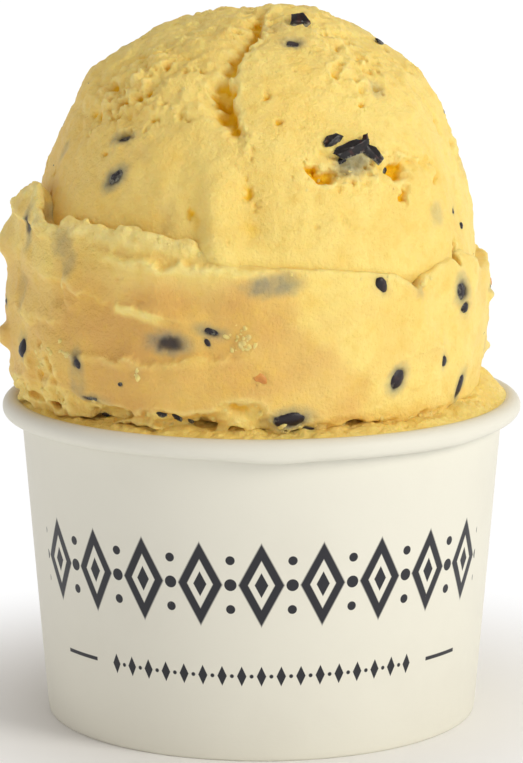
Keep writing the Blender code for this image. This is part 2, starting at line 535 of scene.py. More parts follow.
domeSeeds = [
    (19, 114.4, 3.0, 2.0, -8, 0.5, 0.8), (-41, 100.4, 3.4, 1.6, 12, 0.3, 0.8),
    (-40, 94.3, 4.2, 2.5, 42, 0.3, 1.0), (-70, 97.0, 2.6, 1.8, 60, 0.0, 0.5),
    (46, 107.3, 2.2, 2.0, 60, 0.0, 0.55), (53, 87.6, 2.6, 2.6, 0, 0.0, 0.45),
    (64, 87.6, 1.3, 1.2, 60, 0.6, 0.2), (71, 84.6, 1.8, 1.0, 25, 0.8, 0.0),
    (-33, 98.2, 3.0, 2.0, 0, 0.0, 0.12), (-22, 88.5, 3.0, 5.0, 0, 0.0, 0.16),
    (13, 117.0, 3.4, 1.8, -20, 0.0, 0.35),
]
bandSeeds = [
    (32, 77.9, 3.0, 1.9, -58, 0.75, 0.3), (60, 75.0, 4.0, 2.7, -75, 0.35, 0.9),
    (62, 71.9, 2.0, 2.0, -80, 0.55, 0.4), (6, 78.8, 6.0, 2.4, 4, 0.0, 1.0),
    (-18, 69.2, 5.4, 2.8, -4, 0.04, 1.0), (-8, 71.2, 3.2, 1.4, -12, 0.45, 0.8),
    (-9, 69.4, 1.6, 0.9, -60, 0.7, 0.2), (37, 62.4, 3.9, 2.9, 66, 0.5, 0.9),
    (53, 63.9, 2.0, 2.2, 80, 0.5, 0.4), (62, 58.6, 4.8, 2.6, 74, 0.45, 0.7),
    (-42, 64.8, 2.8, 1.7, -80, 0.4, 0.8), (-43, 61.6, 4.2, 2.6, 80, 0.0, 0.5),
    (-66, 64.9, 3.8, 3.0, 70, 0.55, 0.5), (-30, 62.1, 0.9, 0.7, 30, 0.7, 0.1),
    (-40, 58.9, 3.6, 0.9, -5, 0.4, 0.6), (10, 57.0, 5.6, 2.9, 9, 0.5, 0.9),
    (-41, 55.6, 1.6, 1.1, 0, 0.7, 0.2), (43, 76.9, 2.4, 1.4, -50, 0.0, 0.5),
    (-48, 83.6, 3.6, 3.4, 70, 0.0, 0.6), (-45, 80.6, 3.0, 2.0, 90, 0.0, 0.55),
    (-68, 73.6, 3.0, 6.0, 10, 0.0, 0.32), (-64, 85.4, 4.6, 1.8, 88, 0.2, 0.7),
    (-57, 87.6, 2.0, 1.0, 60, 0.0, 0.3), (14, 55.2, 3.6, 1.3, 6, 0.6, 0.5),
]
# Broken shell: azimuth, height, length, width, turn from level, how far it stands out, how sharply it is
# bent, and how far it is tipped towards the cup's foot
domeShards = [
    (33, 117.1, 4.2, 3.8, -8, 0.8, 0.8, 64), (21.6, 100.1, 5.2, 2.3, 22, 0.6, 0.5, 8),
    (26.4, 98.8, 9.4, 3.5, 15, 0.7, 0.55, 8), (33.2, 98.0, 5.4, 2.8, -33, 0.6, 0.5, 10),
    (38.4, 95.7, 1.6, 1.2, 60, 0.4, 0.4, 10), (31.4, 99.5, 3.4, 2.4, 60, 0.8, 0.9, 24),
    (24.0, 97.4, 2.6, 1.6, 40, 0.5, 0.4, 18), (86, 113.2, 3.4, 1.4, -30, 0.6, 0.6, 20),
]
bandShards = [
    (-20.5, 57.5, 2.4, 1.2, -20, 0.4, 0.6, 20), (-17.5, 56.9, 2.8, 1.1, -30, 0.4, 0.8, 26),
    (-14.5, 56.2, 1.7, 0.9, -35, 0.4, 0.4, 12),
]

inclusions = {
    "seed": 5,
    "hidden": 26,  # seeds strewn over the sides and the back, of the dome and of the band each
    "hiddenShards": 5,  # on the dome
    "specks": 64,  # a third of them on the dome
    # crumbs: azimuth, height and size; those in groups: azimuth, height, how far they scatter from there
    # each way, limits of their size, count
    "looseCrumbs": [(-25.3, 64.6, 0.8), (-25.2, 63.6, 1.0), (-25.8, 63.9, 0.5)],
    "bandCrumbs": [(-1, 69.8, 1.7, 1.3, (0.3, 0.9), 26), (-45, 66.0, 2, 0.6, (0.3, 0.8), 9),
                   (-55, 62.5, 3.5, 2.2, (0.4, 1.1), 18)],
    "domeCrumbs": [(-52, 107.5, 14, 3.5, (0.25, 0.7), 40), (40, 113, 14, 3, (0.25, 0.6), 20),
                   (30, 94.6, 12, 1.2, (0.3, 0.7), 14)],
    "lipCrumbs": 86,
    "footCrumbs": 130,
    "backCrumbs": 40,
    "pulp": [(3.0, 63.8, 2.6, 1.7, -28)],  # azimuth, height, length, width, turn
    "hiddenPulp": (95, 128, 172, 215, 258),
    "shardGrey": (5.4, 8),  # lengths of shard at which the grey below it starts, and is full
}


def strew(random, count, turns, heights, apart):
    # seeds for the sides and the back, kept apart from each other
    rows = []
    while len(rows) < count:
        azimuth, height = random.uniform(*turns) % 360, random.uniform(*heights)
        if all(abs(turnFrom(azimuth, row[0])) * 0.65 + abs(height - row[1]) > apart for row in rows):
            long = random.uniform(1.4, 4.6)
            shows = random.choice([0.0, 0.35, 0.5, 0.7], p=[0.35, 0.25, 0.2, 0.2])
            wide, turn = long * random.uniform(0.4, 0.6), random.uniform(-80, 80)
            rows.append((azimuth, height, long, wide, turn, shows, random.uniform(0.3, 0.9)))
    return rows


strewer = np.random.default_rng(inclusions["seed"])
domeSeeds += strew(strewer, inclusions["hidden"], (85, 275), (84, 117), 9)
bandSeeds += strew(strewer, inclusions["hidden"], (80, 282), (58, 80), 8)
for row in strew(strewer, inclusions["hiddenShards"], (95, 265), (90, 112), 22):
    domeShards.append(row[:5] + (0.5, strewer.uniform(0.4, 1.0), strewer.uniform(5, 30)))


def seedGreys(chart, seeds, shards):
    # the grey the seeds leave in the cream round them, and their own dark where the cream is thin
    halo, dark = np.zeros_like(chart.x), np.zeros_like(chart.x)
    for azimuth, height, long, wide, turn, shows, strength in seeds:
        away = chart.oval(azimuth, height, long, wide, turn, 0.18)
        spread = 1.3 + 1.6 / wide
        halo = np.maximum(halo, strength * (1 - ease(away, 0.8, spread + 0.2)) * (0.9 + 0.15 * chart.warp[0]))
        if shows > 0:
            dark = np.maximum(dark, (1 - ease(away, 0.45, 1.1)) * ease(shows + 0.5 * strength, 0.3, 0.6))
    for azimuth, height, long, wide, turn, *_ in shards:
        # the grey hangs below the shard, less so near the crown
        drop = 0.55 * wide * min(1, (gelatoTop - height) / 15)
        away = chart.oval(azimuth + 1, height - drop, 0.75 * long, wide + 0.6, turn, 0.2)
        halo = np.maximum(halo, 1.1 * ease(long, *inclusions["shardGrey"]) * (1 - ease(away, 0.4, 1.6)))
    return halo, dark


# The dome of gelato

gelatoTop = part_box("scoop_upper")[1].z / mm
tornLayers = [(2.4, 1), (1.2, 0.6), (0.7, 0.4)]  # the noise of a torn surface, as size and strength

dome = {
    "step": 0.36,  # between the points of the block it is sculpted in
    "triangles": 192000,
    "centreX": -1.0,
    "centreHeight": 80.0,
    "radius": 37.4,
    "crownRoom": 0.8,  # what the lumps add on top
    "seat": 13.6,  # how far it reaches down inside the band
    "grow": 3.4,  # room round the CAD piece for its lumps
    "seed": 7,
    "cell": 0.24,  # of its charts
    # layers of noise, each a size and a strength: how ragged its edges are, and how uneven it is
    "jitter": [(2.1, 0.30), (0.9, 0.20)],
    "uneven": [(17, 0.26), (7, 0.12), (3.5, 0.07)],
    # height and X of the crisp right-hand edge of the crease down the front
    "crease": [(120, 1.4), (118.3, 0.6), (115.6, -0.4), (112.7, -2.6), (109.8, -4.4), (106.8, -4.7),
               (103.9, -4.0), (102.4, -3.4), (99.4, -2.4), (92, -1.0)],
    # height and depth of the crease, height and width of its left-hand slope
    "creaseDepth": [(120, 0.3), (117.5, 1.9), (115.6, 3.3), (114, 2.9), (111.5, 2.2), (109.8, 2.7),
                    (107.5, 3.7), (104.5, 3.5), (102.6, 2.1), (100.8, 0.35), (96, 0.1), (90, 0)],
    "creaseWidth": [(120, 1.9), (115.6, 2.2), (112.7, 3.1), (109.8, 3.6), (106.8, 3.7), (103.9, 2.6),
                    (102.4, 1.6), (99.4, 1.2)],
    "slab": (92, 99, 0.25),  # the heights over which the slab beside it comes in, and its thickness
    "creaseTear": (-12.5, 107.6, 4.2, 1.3, -24, -1.1, 0.5, 1.2, 0.3),  # as the flap's lumps
    "creaseHollow": (-5, 3.5, 114, 4, 0.5),  # distance from the edge, width, height, height of it, depth
    # height, and how far each shoulder stands out; the azimuth in the middle of each, and its width
    "rightShoulder": [(93, 0), (97, 0.3), (101, 0.6), (107.5, 1.4), (112.5, 1.0), (118.5, 0.7)],
    "leftShoulder": [(103.5, 0), (106.3, 1.1), (108, 1.2), (111, 0.6), (118.5, 0.3)],
    "rightShoulderTurn": (82, 60),
    "leftShoulderTurn": (-86, 26),
    # the fold smeared down the middle, with a furrow on each side: spots along its line, rise, width,
    # the share of the line over which it comes in, and where it starts to go out
    "folds": [
        ([(-8, 98), (-10, 92), (-9, 87), (-7, 81)], 1.05, 2.1, 0.35, 1),
        ([(-17.5, 93.5), (-15, 88), (-14.5, 82)], -0.65, 1.5, 0.4, 0.75),
        ([(-2, 97), (-1.5, 91), (1, 82)], -0.95, 2.4, 0.3, 0.7),
    ],
    # swellings where the front meets the band, and where the fold's cream has run down over the band's lip:
    # azimuth, height, their widths, rise
    "swellings": [(14, 82, 30, 4.5, 1.2), (-7.5, 83.8, 8, 3.0, 1.9)],
    # azimuth and height of the edge of the torn flap at the right
    "flapEdge": [(10, 97.6), (18, 98.8), (24, 98.2), (30, 97.4), (38, 97.6), (44, 97.0), (50, 96.3),
                 (57, 94.6)],
    "flapLip": 0.55,
    "flapDepth": 0.75,
    # lumps below the flap: azimuth, height, width, height of the lump, turn from level, rise,
    # the shares of its oval at which it starts to fall and has fallen, how ragged it is
    "flapLumps": [(50, 93.6, 8, 5.4, -10, 0.9, 0.15, 1.3, 0.0), (25.5, 95.6, 7, 3.4, 10, 0.8, 0.2, 1.1, 0.3)],
    # torn patches: azimuth, height, their widths, how torn
    "tornPatches": [(-52, 107.5, 26, 7, 1), (48, 112, 26, 6, 0.8), (30, 95.5, 18, 3.5, 0.9)],
    "flakes": (-48, 108, 22, 6.5),  # the same for the flakes that the scoop left
    "flakeThickness": 0.68,
    # small tears: azimuth, height, how far they scatter from there each way, count
    "tears": [(-46, 107.5, 10, 4.0, 34), (46, 111, 10, 3.5, 20), (26, 95.5, 9, 1.6, 8), (0, 118, 60, 1.0, 5)],
    # tears at the sides and the back: count, and the limits of their numbers, in the order of domePits
    "backTears": 70,
    "backTear": [(72, 288), (84, 118), (0.7, 2.6), (0.5, 1.6), (-40, 40), (0.4, 1.2)],
    "seedDent": 0.35,
    "paintedLeftShade": (-85, 50, 0.36),  # azimuth, width and strength of the painted shade, a duller tan on the left side away from the light
    # knobs at the crown: X, Y, Z, radius
    "knobs": [(2.9, -6, 120.0, 1.1), (4.6, -6, 118.7, 0.8), (-0.3, -5.5, 118.7, 0.9), (7.6, -6, 117.9, 1.0),
              (-3.6, -6, 118.6, 0.8), (12.5, -5, 116.6, 0.9)],
}
domeTall = gelatoTop - dome["crownRoom"] - dome["centreHeight"]

# Torn hollows: azimuth, height, width, height of the hollow, turn from level, depth
domePits = [
    (-61, 107.6, 2.8, 2.3, 10, 1.2), (-52, 109.3, 1.7, 2.4, -15, 0.9), (-41.5, 110.4, 2.6, 0.8, 6, 0.7),
    (-37, 110.9, 0.9, 1.0, 0, 0.8), (-41, 108.3, 1.3, 0.8, 15, 0.8), (-37.5, 107.4, 1.0, 0.8, -20, 0.7),
    (-48, 105.4, 2.0, 1.5, -12, 1.0), (-37, 104.9, 0.9, 0.7, 0, 0.6), (-32, 103.4, 0.9, 1.3, -20, 0.7),
    (-21, 104.0, 0.7, 1.4, 10, 0.6), (-25, 111.8, 0.8, 1.2, 30, 0.55), (-21, 110.9, 0.7, 0.8, 0, 0.8),
    (-55, 104.2, 2.2, 0.9, -24, 0.8), (-62, 103.6, 1.2, 1.0, 0, 0.7), (-46, 113.6, 1.2, 0.8, -40, 0.7),
    (-50, 107.2, 1.6, 1.5, 20, 1.1), (-56, 105.8, 1.4, 1.1, -30, 0.9),
    (-40, 101.3, 4.4, 0.9, 5, 0.6), (-38, 99.4, 2.2, 0.4, 3, 0.4), (-58, 98.0, 1.2, 0.5, -40, 0.5),
    (4, 106.8, 0.8, 1.2, 0, 0.8), (7, 103.4, 0.8, 1.9, -24, 0.8), (13, 101.9, 1.2, 0.5, -12, 0.5),
    (13, 110.8, 0.9, 0.8, -40, 0.6), (-3, 102.2, 0.8, 0.8, 30, 0.8), (-1, 98.6, 0.5, 2.4, -5, 0.5),
    (41, 115.6, 1.0, 0.9, -30, 0.7), (56, 114.0, 1.4, 1.2, 0, 0.8), (55, 112.8, 1.2, 0.9, 40, 1.0),
    (52, 109.6, 0.9, 1.0, 0, 1.0), (64, 111.0, 2.0, 0.6, -35, 0.5), (17.6, 95.4, 6.2, 2.2, -14, 2.0),
    (41.2, 95.4, 3.6, 3.2, 10, 1.9), (41.8, 91.8, 1.0, 3.0, -8, 1.3), (32, 92.3, 0.9, 0.4, -20, 0.7),
    (49, 92.6, 1.6, 0.6, 30, 0.4), (10, 95.5, 1.6, 0.5, 30, 0.5), (-2, 92.6, 1.0, 2.8, -20, 0.6),
    (-16.5, 89.6, 0.9, 2.0, -5, 0.4), (1, 91.0, 1.0, 1.6, 0, 0.5), (14, 87.6, 1.6, 0.6, -15, 0.4),
    (22, 88.4, 1.8, 2.6, 20, 0.3), (-6, 85.0, 1.0, 0.6, 0, 0.4), (60.2, 81.6, 1.3, 4.0, 8, 2.4),
]
# Cracks, as spots along a line, then width and depth
domeCracks = [
    ([(15, 109.6), (20, 108.3), (27, 107.6), (35, 106.4)], 0.35, 0.35),
    ([(20, 116.4), (33, 115.2), (42, 115.9)], 0.3, 0.35),
    ([(-31, 106.7), (-27, 106.2), (-23, 105.6)], 0.25, 0.3),
    ([(24, 101.6), (17, 102.0), (12, 102.4)], 0.3, 0.3),
    ([(36, 99.2), (43, 98.0), (50, 96.8), (57, 95.6), (58.5, 93.6), (54, 92.2)], 0.35, 0.8),
    ([(66, 108.0), (72, 103.0), (74, 98.0)], 0.35, 0.3), ([(42, 110.4), (50, 112.3), (58, 110.6)], 0.3, 0.4),
    ([(-8, 97.8), (-3, 95.6), (1, 93.0)], 0.3, 0.35),
]


def domeSurface(x, y, z):
    # azimuth and height of the nearest place on the smooth dome, and the distance from it
    x, z = x - dome["centreX"], z - dome["centreHeight"]
    azimuth = np.degrees(np.arctan2(x, -y))
    tall = np.where(z > 0, domeTall, dome["seat"])
    wide = dome["radius"] - 0.9 * roundBell(azimuth, 80, 40) * ease(z, -4, 6)
    wide += 0.6 * roundBell(azimuth, 0, 50)
    across = np.hypot(x, y)
    share = np.maximum(np.hypot(across / wide, z / tall), 0.05)
    return azimuth, dome["centreHeight"] + z / share, np.hypot(across, z) * (1 - 1 / share)


def domeProfile():
    angles = np.radians(np.linspace(90, 0, 120))
    outline = [(dome["radius"] * math.cos(a), dome["centreHeight"] + domeTall * math.sin(a)) for a in angles]
    return outline + [(dome["radius"], z) for z in (75, 70, 66)]


def tornPits(random):
    # small tears scattered over the torn places, and larger ones over the sides and the back
    pits = []
    for centre, height, wide, high, count in dome["tears"]:
        for _ in range(count):
            size = random.uniform(0.6, 1.7)
            place = (random.normal(centre, wide), min(random.normal(height, high), 119))
            shape = (size * random.uniform(1, 1.8), size, random.uniform(-60, 60), random.uniform(0.45, 1.0))
            pits.append(place + shape)
    for _ in range(dome["backTears"]):
        pits.append(tuple(random.uniform(*limits) for limits in dome["backTear"]))
    return pits


def cutCrease(chart, rise, front, jitter):
    # the crease, and the slab of gelato that ends along it; what comes back is the distance beside its edge
    z = chart.z
    beside = chart.x - alongPath(z, dome["crease"]) + jitter
    depth, width = alongPath(z, dome["creaseDepth"]), alongPath(z, dome["creaseWidth"])
    slope = np.exp(-((np.minimum(beside + 0.5, 0) / width) ** 2)) * (1 - ease(beside, -0.25, 0.35))
    rise -= front * depth * slope
    low, high, thick = dome["slab"]
    rise += front * ease(z, low, high) * thick * ease(beside, -0.3, 0.5) * (1 - ease(beside, 1, 15))
    rise += chart.lump(*dome["creaseTear"])
    away, wide, height, high, deep = dome["creaseHollow"]
    rise -= deep * bell(beside, away, wide) * bell(z, height, high) * front
    return beside


def tearFlap(chart, rise, front, jitter):
    # the flap over the torn place at the right, and the lumps below it
    under = roundPath(chart.azimuth, dome["flapEdge"]) - chart.z + 0.7 * jitter
    flap = ease(chart.azimuth, 12, 22) * (1 - ease(chart.azimuth, 52, 58)) * front
    edge = dome["flapLip"] * (1 - ease(under, -0.3, 0.3)) * bell(under, 0, 5)
    rise += flap * (edge - dome["flapDepth"] * ease(under, -0.2, 0.4) * bell(under, 0.4, 2.6))
    for lump in dome["flapLumps"]:
        rise += chart.lump(*lump)


def domeTorn(chart, beside, front):
    # how torn the gelato is, where it wasn't smeared
    z = chart.z
    upperLeft, upperRight, flap = (chart.patch(*patch) for patch in dome["tornPatches"])
    torn = upperLeft + upperRight
    torn += flap + 0.8 * bell(beside, -0.5, 2.4) * front * ease(z, 98, 102)
    sides = ease(np.abs(chart.azimuth), 60, 90)
    torn += 0.35 * ease(z, 113, 118) + 0.6 * ease(chart.noise(13), 0.7, 1.7) * sides + 0.10
    return np.clip(torn, 0, 1)


def shapeDome():
    chart = Relief(dome["centreX"], domeProfile(), dome["cell"], dome["seed"])
    z, azimuth = chart.z, chart.azimuth
    front = ease(-chart.y, 0, 10)
    rough, jitter, rise = (chart.noises(layers) for layers in (tornLayers, dome["jitter"], dome["uneven"]))
    # fuller than an egg at the top: the right-hand shoulder, and the step in the left-hand one
    rise += alongPath(z, dome["rightShoulder"]) * roundBell(azimuth, *dome["rightShoulderTurn"])
    rise += alongPath(z, dome["leftShoulder"]) * roundBell(azimuth, *dome["leftShoulderTurn"])
    beside = cutCrease(chart, rise, front, jitter)
    for path, high, wide, starts, ends in dome["folds"]:
        rise += chart.ridge(path, high, (wide, wide), starts, ends)
    for turn, height, wide, high, out in dome["swellings"]:
        rise += out * bell(z, height, high) * roundBell(azimuth, turn, wide)
    tearFlap(chart, rise, front, jitter)
    torn = domeTorn(chart, beside, front)
    tears = (1 - ease(np.abs(chart.noise(2.8)), 0.05, 0.5)) * ease(chart.noise(4.5), -0.3, 0.8)
    rise -= 0.9 * np.clip(torn - 0.2, 0, 1) * tears
    # flakes with crisp edges, left by the scoop
    flake = 0.9 * chart.noise(4.6, 1.5) + 0.3 * chart.noise(1.8) + 0.12 * chart.noise(0.8)
    layer = np.floor(flake)
    layer += ease(flake - layer, 0.7, 1)
    rise += dome["flakeThickness"] * chart.patch(*dome["flakes"]) * (layer + 0.35)
    rise += 0.23 * torn * rough + 0.04 * chart.noise(1.5) + 0.04 * chart.noise(0.75)
    for turn, height, wide, high, lean, deep in domePits + tornPits(np.random.default_rng(dome["seed"])):
        away = chart.oval(turn, height, 1.15 * wide, 1.15 * high, lean, 0.5)
        rise -= 1.05 * deep * (1 - ease(away, 0.5, 1.05)) - 0.16 * bell(away, 1.3, 0.25)
    for path, wide, deep in domeCracks:
        rise -= chart.ridge(path, deep, (wide, wide), 0.15, 0.85, 0.3)
    halo, dark = seedGreys(chart, domeSeeds, domeShards)
    rise -= dome["seedDent"] * dark
    # painted shade: the dome's left side, away from the key light, is tinted a duller tan, less so towards
    # the top
    turn, wide, strength = dome["paintedLeftShade"]
    tan = strength * roundBell(azimuth, turn, wide) * (1 - ease(z, 98, 116))
    return chart, rise, {"halo": halo, "dark": dark, "tan": tan}


def sculptDome(block):
    azimuth, height, field = domeSurface(block.x, block.y, block.z)
    chart, rise, charts = shapeDome()
    chart.lift(field, rise, azimuth, height)
    wobble = block.noise(1.1)
    for x, y, z, size in dome["knobs"]:
        part = block.near((x, y, z), size + 2)
        ball = np.sqrt((block.x[part] - x) ** 2 + (block.y[part] - y) ** 2 + (block.z[part] - z) ** 2)
        field[part] = softMin(field[part], ball - size + 0.3 * wobble[part], 0.9)
    return field, chart, charts


def domeSpot(points):
    turn, height, _ = domeSurface(*points.T)
    return turn, height




# The band of gelato smeared round the dome's foot

band = {
    "step": 0.36,
    "triangles": 192000,
    "centreX": -2.3,
    "radius": 40.3,
    "footRadius": 38.6,
    "grow": 1.5,  # room round the CAD piece for its lumps
    "seed": 11,
    "cell": 0.24,  # of its charts
    "jitter": [(3.4, 0.34), (0.9, 0.14)],
    "uneven": [(15, 0.24), (6, 0.13), (3, 0.05)],
    "underside": 54.3,
    # azimuth and height of the top edge, and of the foot's torn edge
    "lip": [(-180, 82.0), (-140, 80.5), (-100, 85.5), (-80, 89.2), (-74, 91.2), (-68, 92.2), (-64.5, 91.4),
            (-61.5, 88.4), (-55, 87.0), (-49, 87.0), (-40, 86.8), (-35, 86.6), (-33, 86.4), (-31.5, 87.8),
            (-25, 87.0), (-18, 85.9), (-12, 84.8), (-7, 83.4), (-2, 82.2), (5, 81.6), (18, 81.0),
            (28, 80.3), (37, 79.3), (43, 76.8), (46, 78.6), (52, 79.9), (58, 80.6), (63, 81.6), (70, 79.8),
            (78, 77.0), (90, 77.5), (120, 80.5), (150, 83.5)],
    "foot": [(-180, 57), (-140, 58.5), (-100, 57.5), (-61, 60.0), (-48, 59.6), (-38, 58.6), (-32, 57.8),
             (-14, 57.4), (-8, 58.6), (-3, 60.0), (3, 59.6), (7, 58.0), (16, 56.2), (23, 55.8), (46, 55.4),
             (70, 55.4), (100, 56.5), (140, 58)],
    # azimuth, and how deep the pale crest, a painted highlight, hangs, and how far the torn foot stands back
    "crest": [(-84, 0.8), (-60, 1.6), (-40, 1.5), (-33.5, 1.0), (-32.5, 3.4), (-28, 3.0), (-20, 1.6),
              (-12, 0.9)],
    "footDepth": [(-180, 1.0), (-61, 0.9), (-40, 1.2), (-12, 1.3), (7, 1.2), (17, 0.6), (30, 0.25),
                  (70, 0.4), (120, 0.9)],
    # radius and height of the outside
    "profile": [(36.8, 97), (37.4, 93), (38.9, 88), (39.8, 84), (40.3, 80), (40.3, 64), (40.0, 61),
                (39.6, 58.5), (39.2, 56.5), (38.6, 54.5), (38.0, 52.5)],
    "smeared": (-14, -4, 85, 100),  # the azimuths between which the lip is smooth
    "tornPatches": [(-56, 62.5, 8, 4, 0.5), (-1, 69.8, 4, 1.6, 0.5)],  # azimuth, height, widths, how torn
    "tanEdge": (8, 79, 1.15),  # where the tan smear ends: azimuth, height, and degrees for each mm down
    "tanStrongest": (-24, 26),  # azimuth and width
    "seedDent": 0.3,
    "valleys": [(-55, 28, 2.6), (62, 12, 0.8), (150, 40, 1.0)],  # behind the lip: azimuth, width, depth
    "gap": (59.5, 80.4, 0.9, 1.9),  # beside the lump at the right: azimuth, height, half its width and height
    "gapInside": (38.4, 2.4),  # radius of its middle, and half its depth
    "caveRadius": 39,
}

# Ledges, where one smear ends on the next: azimuths and heights, azimuths at which it comes in and goes out,
# which side stands proud, by how much, how far that reaches, and the height of the lip on its edge
bandLedges = [
    ([(-60, 84.6), (-40, 83.4), (-22, 82.2), (-9, 82.0), (5, 81.4), (18, 80.8)],
     (-46, -23, -2, 9), "below", 0.95, 8, 0.35),
    ([(-62, 78.4), (-48, 77.0), (-40, 75.8), (-27, 74.5), (-18, 72.8), (-6, 71.8)],
     (-62, -52, -22, -6), "above", 0.7, 7, 0.08),
    ([(-34, 75.1), (-27, 74.6), (-18, 73.0)], (-34, -30, -22, -16), "below", 0.6, 1.6, 0.4),
    ([(-50, 67.4), (-43, 66.7), (-30, 66.2), (-20, 66.4), (-11, 67.3), (4, 68.2)],
     (-48, -43, -10, 6), "below", 0.45, 7, 0.14),
    ([(-90, 86.0), (-70, 86.5), (-55, 84.5), (-45, 82.0)], (-95, -78, -58, -46), "above", 0.7, 5, 0.1),
    ([(-75, 71.0), (-62, 69.8), (-52, 70.4), (-44, 72.0)], (-76, -68, -52, -44), "above", 0.5, 5, 0.1),
    ([(30, 64.0), (45, 66.5), (60, 66.0)], (28, 40, 52, 62), "above", 0.30, 5, 0.05),
    ([(72, 70.0), (90, 72.0), (110, 69.5), (130, 71.5)], (84, 100, 118, 134), "above", 0.8, 8, 0.3),
    ([(84, 63.0), (110, 62.0), (140, 65.0), (160, 66.0)], (84, 98, 146, 164), "below", 0.7, 6, 0.3),
    ([(120, 76.0), (150, 78.0), (180, 74.0), (205, 73.0)], (124, 140, 188, 206), "below", 0.9, 8, 0.4),
    ([(150, 69.0), (180, 66.5), (210, 68.0), (235, 71.0)], (152, 168, 218, 236), "above", 0.8, 7, 0.25),
    ([(205, 80.0), (230, 77.0), (255, 79.0), (280, 82.0)], (205, 220, 262, 282), "below", 0.8, 7, 0.35),
    ([(195, 61.5), (225, 62.5), (255, 61.0), (275, 63.0)], (194, 212, 258, 276), "above", 0.7, 6, 0.2),
]
# Folds: spots along a line, height of the fold, width to its right and to its left
bandFolds = [
    ([(-45.5, 80), (-46.5, 76), (-44.5, 72.5)], 0.8, 0.5, 4.5),
    ([(-50, 83), (-49, 78), (-50, 73)], -0.6, 2.2, 2.2),
    ([(38, 77.5), (44, 72), (50, 66), (52, 60)], 0.55, 3.5, 1.3),
    ([(48, 77), (54, 71), (57, 65)], -0.4, 3.0, 2.5), ([(64, 81), (66, 76), (66, 70)], 0.5, 3.0, 3.0),
    ([(7, 79), (14, 73), (20, 67), (24, 61)], 0.22, 3.0, 1.2),
    ([(-30, 61.5), (-15, 62.5), (0, 61.0), (12, 59.0)], 0.3, 1.2, 2.0),
    ([(-72, 82), (-68, 76), (-70, 70)], -0.7, 3.0, 3.0), ([(-8, 80), (-12, 76), (-16, 73)], -0.3, 2.5, 3.5),
    ([(100, 80), (108, 72), (104, 62)], -0.6, 3.0, 4.0), ([(170, 84), (160, 76), (166, 70)], 0.7, 2.0, 4.0),
    ([(236, 84), (244, 74), (238, 66)], -0.7, 3.0, 3.0),
    ([(14, 60.4), (24, 62.2), (34, 63.4)], 0.25, 0.5, 1.8),
    ([(26, 58.6), (38, 60.4), (46, 61.0)], 0.2, 0.4, 1.6),
]
# Lumps and dents: azimuth, height, width, height of the lump, turn from level, rise
bandLumps = [
    (-80, 65.4, 6.4, 5.2, 0, 2.1), (-84, 81, 16, 8, 0, 1.5), (-66, 79.5, 8, 5, 20, 0.7),
    (-78, 71.5, 12, 7, 0, 0.6), (62, 76.5, 12, 9, -30, 0.6), (88, 69, 14, 14, 0, 0.5),
    (86, 71.6, 2.6, 3.0, 0, 0.8), (-70, 60.0, 10, 3.0, 0, 0.5), (-58, 62.0, 6, 6, 0, -0.9),
    (-53, 64.0, 2.0, 3.0, 10, -1.7), (-58, 61.0, 1.6, 1.8, 0, -1.0), (-51, 60.6, 1.5, 1.2, 0, -0.8),
    (-57, 66.4, 1.6, 1.2, 30, -1.0), (-62, 63.2, 2.4, 3.6, 0, 0.8), (-49.5, 62.5, 1.6, 3.6, -10, 0.7),
    (-1, 69.8, 3.0, 2.6, 0, 0.5), (2.0, 70.0, 1.0, 0.7, 0, -0.7), (46, 76.4, 2.0, 1.4, 0, -0.5),
    (50, 67.8, 3.0, 0.7, -32, -0.5), (-25, 75.6, 2.4, 1.4, -30, -0.45), (-30, 79.6, 1.2, 0.9, 0, -0.4),
    (27, 73.4, 1.4, 1.0, 20, -0.3), (-43, 86.0, 3.5, 1.0, 0, 0.4), (3.2, 63.8, 2.6, 1.8, -20, -0.35),
    (-72, 87.0, 5, 6, 0, 0.5), (25, 57.4, 16, 2.2, 0, 0.35), (150, 74, 16, 9, 0, 0.8),
    (200, 63, 12, 7, 0, 0.8), (250, 69, 12, 9, 0, 0.7), (118, 66, 9, 7, 0, 0.6),
]
# Caves under the foot: azimuth, height, width, height, how far in
footCaves = [
    (-33.5, 56.4, 5.4, 2.8, 4.2), (-39.5, 56.0, 2.4, 1.8, 3.0), (-16.5, 56.0, 7.0, 2.2, 3.6),
    (-10.5, 55.2, 4.6, 1.5, 3.2), (-3, 55.4, 2.2, 1.4, 2.6), (3, 56.6, 1.4, 1.0, 2.0),
    (9, 55.4, 3.6, 1.5, 2.6), (14.5, 55.2, 3.4, 1.2, 2.4), (27, 55.0, 8.0, 0.9, 2.2),
    (38, 55.2, 2.6, 0.8, 2.0), (46.5, 55.6, 1.8, 1.5, 2.6), (52, 55.6, 3.8, 1.4, 2.8),
    (57.5, 55.6, 2.8, 1.5, 2.8), (-50, 57.8, 1.8, 1.4, 2.6), (-55, 56.2, 3.0, 1.5, 2.8),
    (-63, 56.8, 4.4, 1.8, 3.0), (-95, 56.0, 6.0, 1.6, 3.0), (-125, 56.6, 4.0, 1.2, 2.6),
    (-150, 56.0, 8.0, 1.5, 3.0), (178, 56.2, 5.0, 1.7, 3.0), (152, 55.8, 7.0, 1.2, 2.6),
    (126, 56.2, 4.0, 1.6, 3.0), (98, 55.6, 7.0, 1.1, 2.4), (76, 55.2, 5.0, 0.9, 2.2),
]


def ledgeRise(chart, path, ends, proud, step, reach, lip, jitter):
    start, full, fade, end = ends
    middle = (start + end) / 2
    turn = turnFrom(chart.azimuth, middle) + middle
    share = ease(turn, start, full) * (1 - ease(turn, fade, end))
    side = chart.z - roundPath(chart.azimuth, path) + jitter
    if proud == "below":
        side = -side
    body = step * ease(side, -0.22, 0.35) * (1 - ease(side, 0.2 * reach, reach))
    # the crest along the edge is painted paler, a painted highlight where the edge catches the light from
    # above
    crest = min(2.2 * lip, 1) * ease(side, -0.3, 0.2) * (1 - ease(side + jitter, 0.9, 2.2))
    return share * (body + lip * bell(side, 0.55, 0.85)), share * crest


